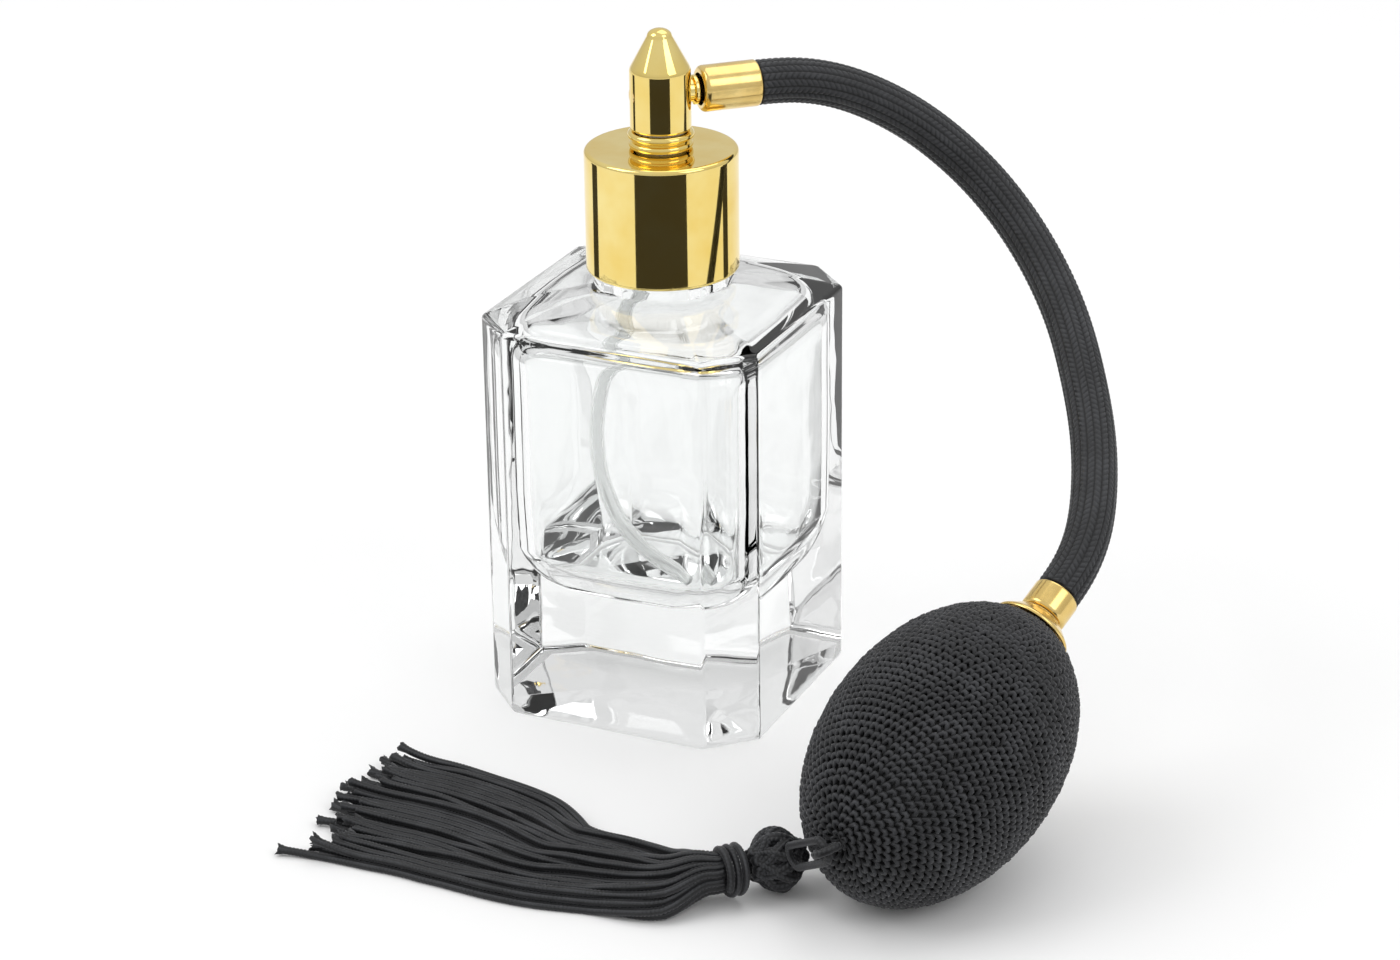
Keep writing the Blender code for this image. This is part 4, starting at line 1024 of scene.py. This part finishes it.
# Tassel head. A round knot of the same cord, worked over and under itself round a core, with a few
# tight windings below it that bind the strands.
HEAD_RADIUS = 0.0046
KNOT_CORD = 0.00092
KNOT_TURNS = 5
KNOT_LOBES = 8
WRAP_RADIUS = 0.0037
WRAP_CORD = 0.00056
head_place = centre_of("tassel_head")
strand_way = (centre_of("tassel_wrap") - head_place).normalized()
strand_side = strand_way.cross(Vector((0, 0, 1))).normalized()
knot_frame = np.array([tuple(strand_side), (0.0, 0.0, 1.0), tuple(strand_way)])

s = np.linspace(0, 2 * math.pi, 1501)[:-1]
latitude = math.radians(66) * np.cos(KNOT_LOBES * s)
reach = HEAD_RADIUS - KNOT_CORD * 1.25 + 0.0003 * np.cos(KNOT_LOBES * (KNOT_TURNS - 1) * s)
knot_path = np.stack(
    [
        reach * np.cos(latitude) * np.cos(KNOT_TURNS * s),
        reach * np.cos(latitude) * np.sin(KNOT_TURNS * s),
        reach * np.sin(latitude),
    ],
    axis=1,
)
knot_path = evenly(knot_path @ knot_frame + np.array(head_place), CORD_PAD / 4, closed=True)
knot = plaited_cord("tassel_knot", knot_path, KNOT_CORD, 6, True)
knot.data.materials.append(cord_yarn)

bpy.ops.object.select_all(action="DESELECT")
bpy.ops.mesh.primitive_ico_sphere_add(subdivisions=4, radius=HEAD_RADIUS - KNOT_CORD * 1.5)
knot_core = bpy.context.object
knot_core.name = "tassel_knot_core"
knot_core.data.transform(Matrix.Translation(head_place))
knot_core.data.shade_smooth()
keep_relief_shade(knot_core, np.full(len(knot_core.data.vertices), 0.3))
knot_core.data.materials.append(cord_yarn)

wrap_low, wrap_high = reach_along("tassel_wrap", head_place, strand_way)
turns = (wrap_high - wrap_low - 2 * WRAP_CORD) / (2 * WRAP_CORD)
t = np.linspace(0, 1, 400)
angle = 2 * math.pi * turns * t
wrap_path = np.stack(
    [
        (WRAP_RADIUS - WRAP_CORD) * np.cos(angle),
        (WRAP_RADIUS - WRAP_CORD) * np.sin(angle),
        wrap_low + WRAP_CORD + (wrap_high - wrap_low - 2 * WRAP_CORD) * t,
    ],
    axis=1,
)
wrap_path = evenly(wrap_path @ knot_frame + np.array(head_place), CORD_PAD / 4)
wrap = plaited_cord("tassel_binding", wrap_path, WRAP_CORD, 4)
wrap.data.materials.append(cord_yarn)
for piece, node in ((knot, "tassel_head"), (knot_core, None), (wrap, "tassel_wrap")):
    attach(piece, "tassel")
    if node:
        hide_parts(node)

# Tassel strands. Forty-six lengths of soft plaited cord that leave the binding in a round bundle, fan
# out and lie on the table in two loose layers, cut off unevenly with slightly opened ends.
STRANDS = 46
STRAND_RADIUS = 0.00058
STRAND_STEP = 0.00014
LOOSE_AFTER = 0.0065
SHORTEST_CUT = 0.13
STRAND_LEAD = 0.0012
SKIRT_STATIONS = (
    (0.0000, 0.0000, 0.0040, 0.0078),
    (0.0058, 0.0037, 0.0064, 0.0066),
    (0.0108, 0.0107, 0.0082, 0.0050),
    (0.0176, 0.0187, 0.0100, 0.0038),
    (0.0219, 0.0282, 0.0130, 0.0031),
    (0.0283, 0.0386, 0.0143, 0.0027),
    (0.0379, 0.0494, 0.0144, 0.0024),
)
skirt_root = Vector(head_place) + strand_way * wrap_high
skirt_root.z = 0.0
skirt_stops = [
    tuple(skirt_root + strand_way * ahead + strand_side * aside) for ahead, aside, _, _ in SKIRT_STATIONS
]
skirt_path = smooth_curve(skirt_stops, 0.001)
skirt_travelled = distances(skirt_path)
stop_at = [
    skirt_travelled[np.linalg.norm(skirt_path - np.array(stop), axis=1).argmin()] for stop in skirt_stops
]
half_widths = np.interp(skirt_travelled, stop_at, [station[2] for station in SKIRT_STATIONS])
depths = np.interp(skirt_travelled, stop_at, [station[3] for station in SKIRT_STATIONS])
skirt_ahead = np.gradient(skirt_path, axis=0)
skirt_ahead /= np.linalg.norm(skirt_ahead, axis=1)[:, None]
skirt_across = np.cross(skirt_ahead, (0, 0, 1))

chance = np.random.default_rng(19)
golden = math.pi * (3 - math.sqrt(5))
index = np.arange(STRANDS)
spiral = np.sqrt((index + 0.5) / STRANDS)
bunch = np.stack([spiral * np.cos(golden * index), spiral * np.sin(golden * index)], axis=1)
places = bunch * np.array([half_widths[0] - STRAND_RADIUS, depths[0] / 2 - STRAND_RADIUS])
places[:, 1] += depths[0] / 2
sway = chance.normal(0, 1, (STRANDS, 3))
sections = []
for i, (half_width, depth) in enumerate(zip(half_widths, depths)):
    if i:
        places[:, 0] *= half_width / half_widths[i - 1]
        places[:, 1] *= depth / depths[i - 1]
        places[:, 0] += 0.00009 * np.sin(skirt_travelled[i] * 260 + 6 * sway[:, 0]) * sway[:, 1]
    for _ in range(24):
        gap = places[:, None] - places[None]
        apart = np.linalg.norm(gap, axis=2) + np.eye(STRANDS)
        push = np.clip(2.04 * STRAND_RADIUS - apart, 0, None) / apart * (1 - np.eye(STRANDS))
        places = places + 0.42 * (gap * push[..., None]).sum(1)
        places[:, 1] = np.clip(places[:, 1] - 0.000008, STRAND_RADIUS, depth + STRAND_RADIUS)
        places[:, 0] = np.clip(places[:, 0], -half_width - 0.0004, half_width + 0.0004)
    sections.append(places.copy())
sections = np.array(sections)
kernel = np.array([1, 2, 3, 2, 1]) / 9
padded = np.concatenate([sections[:1], sections[:1], sections, sections[-1:], sections[-1:]])
sections = sum(weight * padded[k : k + len(sections)] for k, weight in enumerate(kernel))
gathered = bunch * (WRAP_RADIUS - 2.2 * STRAND_RADIUS) + np.array([0.0, head_place.z])
loosened = np.clip(skirt_travelled / LOOSE_AFTER, 0, 1)[:, None, None]
loosened = loosened * loosened * (3 - 2 * loosened)
sections = gathered[None] * (1 - loosened) + sections * loosened
strand_pieces = []
for number in range(STRANDS):
    share = 1 - SHORTEST_CUT * chance.random() ** 1.5
    last = max(8, round(share * (len(skirt_path) - 1)))
    path = skirt_path + skirt_across * sections[:, number, 0][:, None]
    path[:, 2] = sections[:, number, 1]
    path = path[: last + 1]
    curl = np.clip((np.arange(len(path)) - len(path) + 9) / 9, 0, 1) ** 2
    path = path + skirt_across[: len(path)] * (curl * 0.0011 * sway[number, 2])[:, None]
    path[:, 2] += curl * 0.0008 * abs(sway[number, 0])
    lead = path[0] - np.array(strand_way) * STRAND_LEAD
    path = evenly(np.concatenate([[lead], path]), STRAND_STEP)
    strand = plaited_cord(f"strand_{number}", path, STRAND_RADIUS, 4, per_column=3, frayed=True)
    strand_pieces.append(strand)
for start in range(0, STRANDS, 16):
    group = strand_pieces[start : start + 16]
    only(*group)
    bpy.ops.object.join()
    bundle = bpy.context.object
    bundle.name = f"strands_{start // 16}"
    bundle.data.materials.clear()
    bundle.data.materials.append(cord_yarn)
    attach(bundle, "tassel")
    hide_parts("tassel_skirt")

# Working parts inside. The soft washer on the glass lip, the moulded closure and spray core, the ends
# of the rubber air tube, and the brass, plastic and steel pieces of the two check valves.
LIGHT_PLASTIC = ("collar_liner", "head_core", "outlet_valve_seat")
PLAIN_BRASS = ("bulb_nipple", "inlet_valve_body", "inlet_valve_cage")
moulded_group, given, results = group_with(
    "moulded", [("Place", "Vector"), ("Size", "Float")], [("Shade", "Float"), ("Height", "Float")]
)
clouds = new_node(moulded_group, "ShaderNodeTexNoise", Detail=4.0, Roughness=0.6)
flecks = new_node(moulded_group, "ShaderNodeTexNoise", Scale=2600.0, Detail=2.0, Roughness=0.5)
wire(
    moulded_group,
    (given, "Place", clouds, "Vector"),
    (given, "Size", clouds, "Scale"),
    (given, "Place", flecks, "Vector"),
    (clouds, "Fac", results, "Shade"),
    (flecks, "Fac", results, "Height"),
)

for nodes, light, dark, roughness, metallic in (
    (("neck_gasket",), (0.74, 0.74, 0.70), (0.60, 0.60, 0.56), 0.62, 0.0),
    (LIGHT_PLASTIC, (0.88, 0.88, 0.86), (0.76, 0.77, 0.75), 0.38, 0.0),
    (("upper_tube_end", "lower_tube_end"), (0.022, 0.022, 0.023), (0.008, 0.008, 0.009), 0.60, 0.0),
    (PLAIN_BRASS, (0.80, 0.62, 0.28), (0.62, 0.44, 0.16), 0.28, 1.0),
    (("outlet_valve_ball", "inlet_valve_ball"), (0.66, 0.67, 0.68), (0.52, 0.53, 0.55), 0.16, 1.0),
):
    made, tree, shader = new_material(nodes[0] + "_finish")
    shader.inputs["Metallic"].default_value = metallic
    place = new_node(tree, "ShaderNodeTexCoord")
    moulded = new_node(tree, "ShaderNodeGroup", node_tree=moulded_group)
    moulded.inputs["Size"].default_value = 320.0
    colour = mixed_colour(tree, dark, light)
    rough = new_node(tree, "ShaderNodeMapRange", To_Min=roughness * 0.8, To_Max=roughness * 1.25)
    bump = new_node(tree, "ShaderNodeBump", Strength=0.3, Distance=0.00002)
    wire(
        tree,
        (place, "Object", moulded, "Place"),
        (moulded, "Shade", colour, "Factor"),
        (colour, "Result", shader, "Base Color"),
        (moulded, "Shade", rough, "Value"),
        (rough, "Result", shader, "Roughness"),
        (moulded, "Height", bump, "Height"),
        (bump, "Normal", shader, "Normal"),
    )
    for node in nodes:
        for holder in bpy.data.objects[node].material_slots:
            holder.material = made

# Studio. A pale floor under soft light from all round, darker towards the camera, with dark cards
# out of view that give the gold its dark bands and the glass its dark edges.
FLOOR_HALF = 8.0
bpy.ops.object.select_all(action="DESELECT")
bpy.ops.mesh.primitive_plane_add(size=2 * FLOOR_HALF)
floor = bpy.context.object
floor.name = "floor"
paper, _, paper_shader = new_material("paper")
paper_shader.inputs["Base Color"].default_value = (0.93, 0.93, 0.93, 1)
paper_shader.inputs["Roughness"].default_value = 0.9
floor.data.materials.append(paper)

# Each card lies flat: its heading and half width from the camera's own heading, and its reach.
CAMERA_HEADING = math.atan2(camera.location.y, camera.location.x)
black_card, card_tree, card_shader = new_material("black_card")
card_shader.inputs["Roughness"].default_value = 1.0
ray = new_node(card_tree, "ShaderNodeLightPath")
seen = new_node(card_tree, "ShaderNodeMapRange", From_Min=0.0, From_Max=1.0)
card_colour = mixed_colour(card_tree, (0.02, 0.018, 0.015), (0.62, 0.62, 0.63))
wire(
    card_tree,
    (ray, "Transmission Depth", seen, "Value"),
    (seen, "Result", card_colour, "Factor"),
    (card_colour, "Result", card_shader, "Base Color"),
)
for number, (heading, half_width, near, far) in enumerate(
    ((-2.0, 38.0, 0.12, 0.60), (106.0, 6.0, 0.14, 0.5), (-116.0, 7.0, 0.14, 0.5))
):
    corners = []
    for reach, side in ((near, -1), (far, -1), (far, 1), (near, 1)):
        angle = CAMERA_HEADING + math.radians(heading + side * half_width)
        corners.append((reach * math.cos(angle), reach * math.sin(angle), 0.0005))
    mesh = bpy.data.meshes.new(f"card_{number}")
    mesh.from_pydata(corners, [], [(0, 1, 2, 3)])
    mesh.materials.append(black_card)
    card = bpy.data.objects.new(f"card_{number}", mesh)
    bpy.context.scene.collection.objects.link(card)
    card.visible_camera = False
    card.visible_diffuse = False
    card.visible_shadow = False
    card.visible_transmission = False

world = bpy.data.worlds.new("studio")
world.use_nodes = True
tree = world.node_tree
surround = new_node(tree, "ShaderNodeTexCoord")
split = new_node(tree, "ShaderNodeSeparateXYZ")
ramp = new_node(tree, "ShaderNodeValToRGB")
ramp.color_ramp.elements[0].position = 0.50
ramp.color_ramp.elements[0].color = (0.80, 0.80, 0.80, 1)
ramp.color_ramp.elements[1].position = 0.80
ramp.color_ramp.elements[1].color = (1.0, 1.0, 1.0, 1)
height_share = new_node(tree, "ShaderNodeMapRange", From_Min=-1.0, From_Max=1.0)
wire(
    tree,
    (surround, "Generated", split, "Vector"),
    (split, "Z", height_share, "Value"),
    (height_share, "Result", ramp, "Fac"),
    (ramp, "Color", tree.nodes["Background"], "Color"),
)
tree.nodes["Background"].inputs["Strength"].default_value = 0.80
bpy.context.scene.world = world
for name, place, size, energy in (
    ("key", (-0.7, -0.5, 1.0), 0.7, 3.6),
    ("fill", (0.9, -0.2, 0.8), 0.6, 1.8),
    ("top", (0.1, 0.5, 1.2), 0.9, 2.6),
):
    lamp = bpy.data.lights.new(name, "AREA")
    lamp.size = size
    lamp.energy = energy
    light = bpy.data.objects.new(name, lamp)
    light.location = place
    light.rotation_euler = (Vector((0, 0, 0.03)) - light.location).to_track_quat("-Z", "Y").to_euler()
    bpy.context.scene.collection.objects.link(light)
bpy.context.scene.view_settings.view_transform = "Standard"
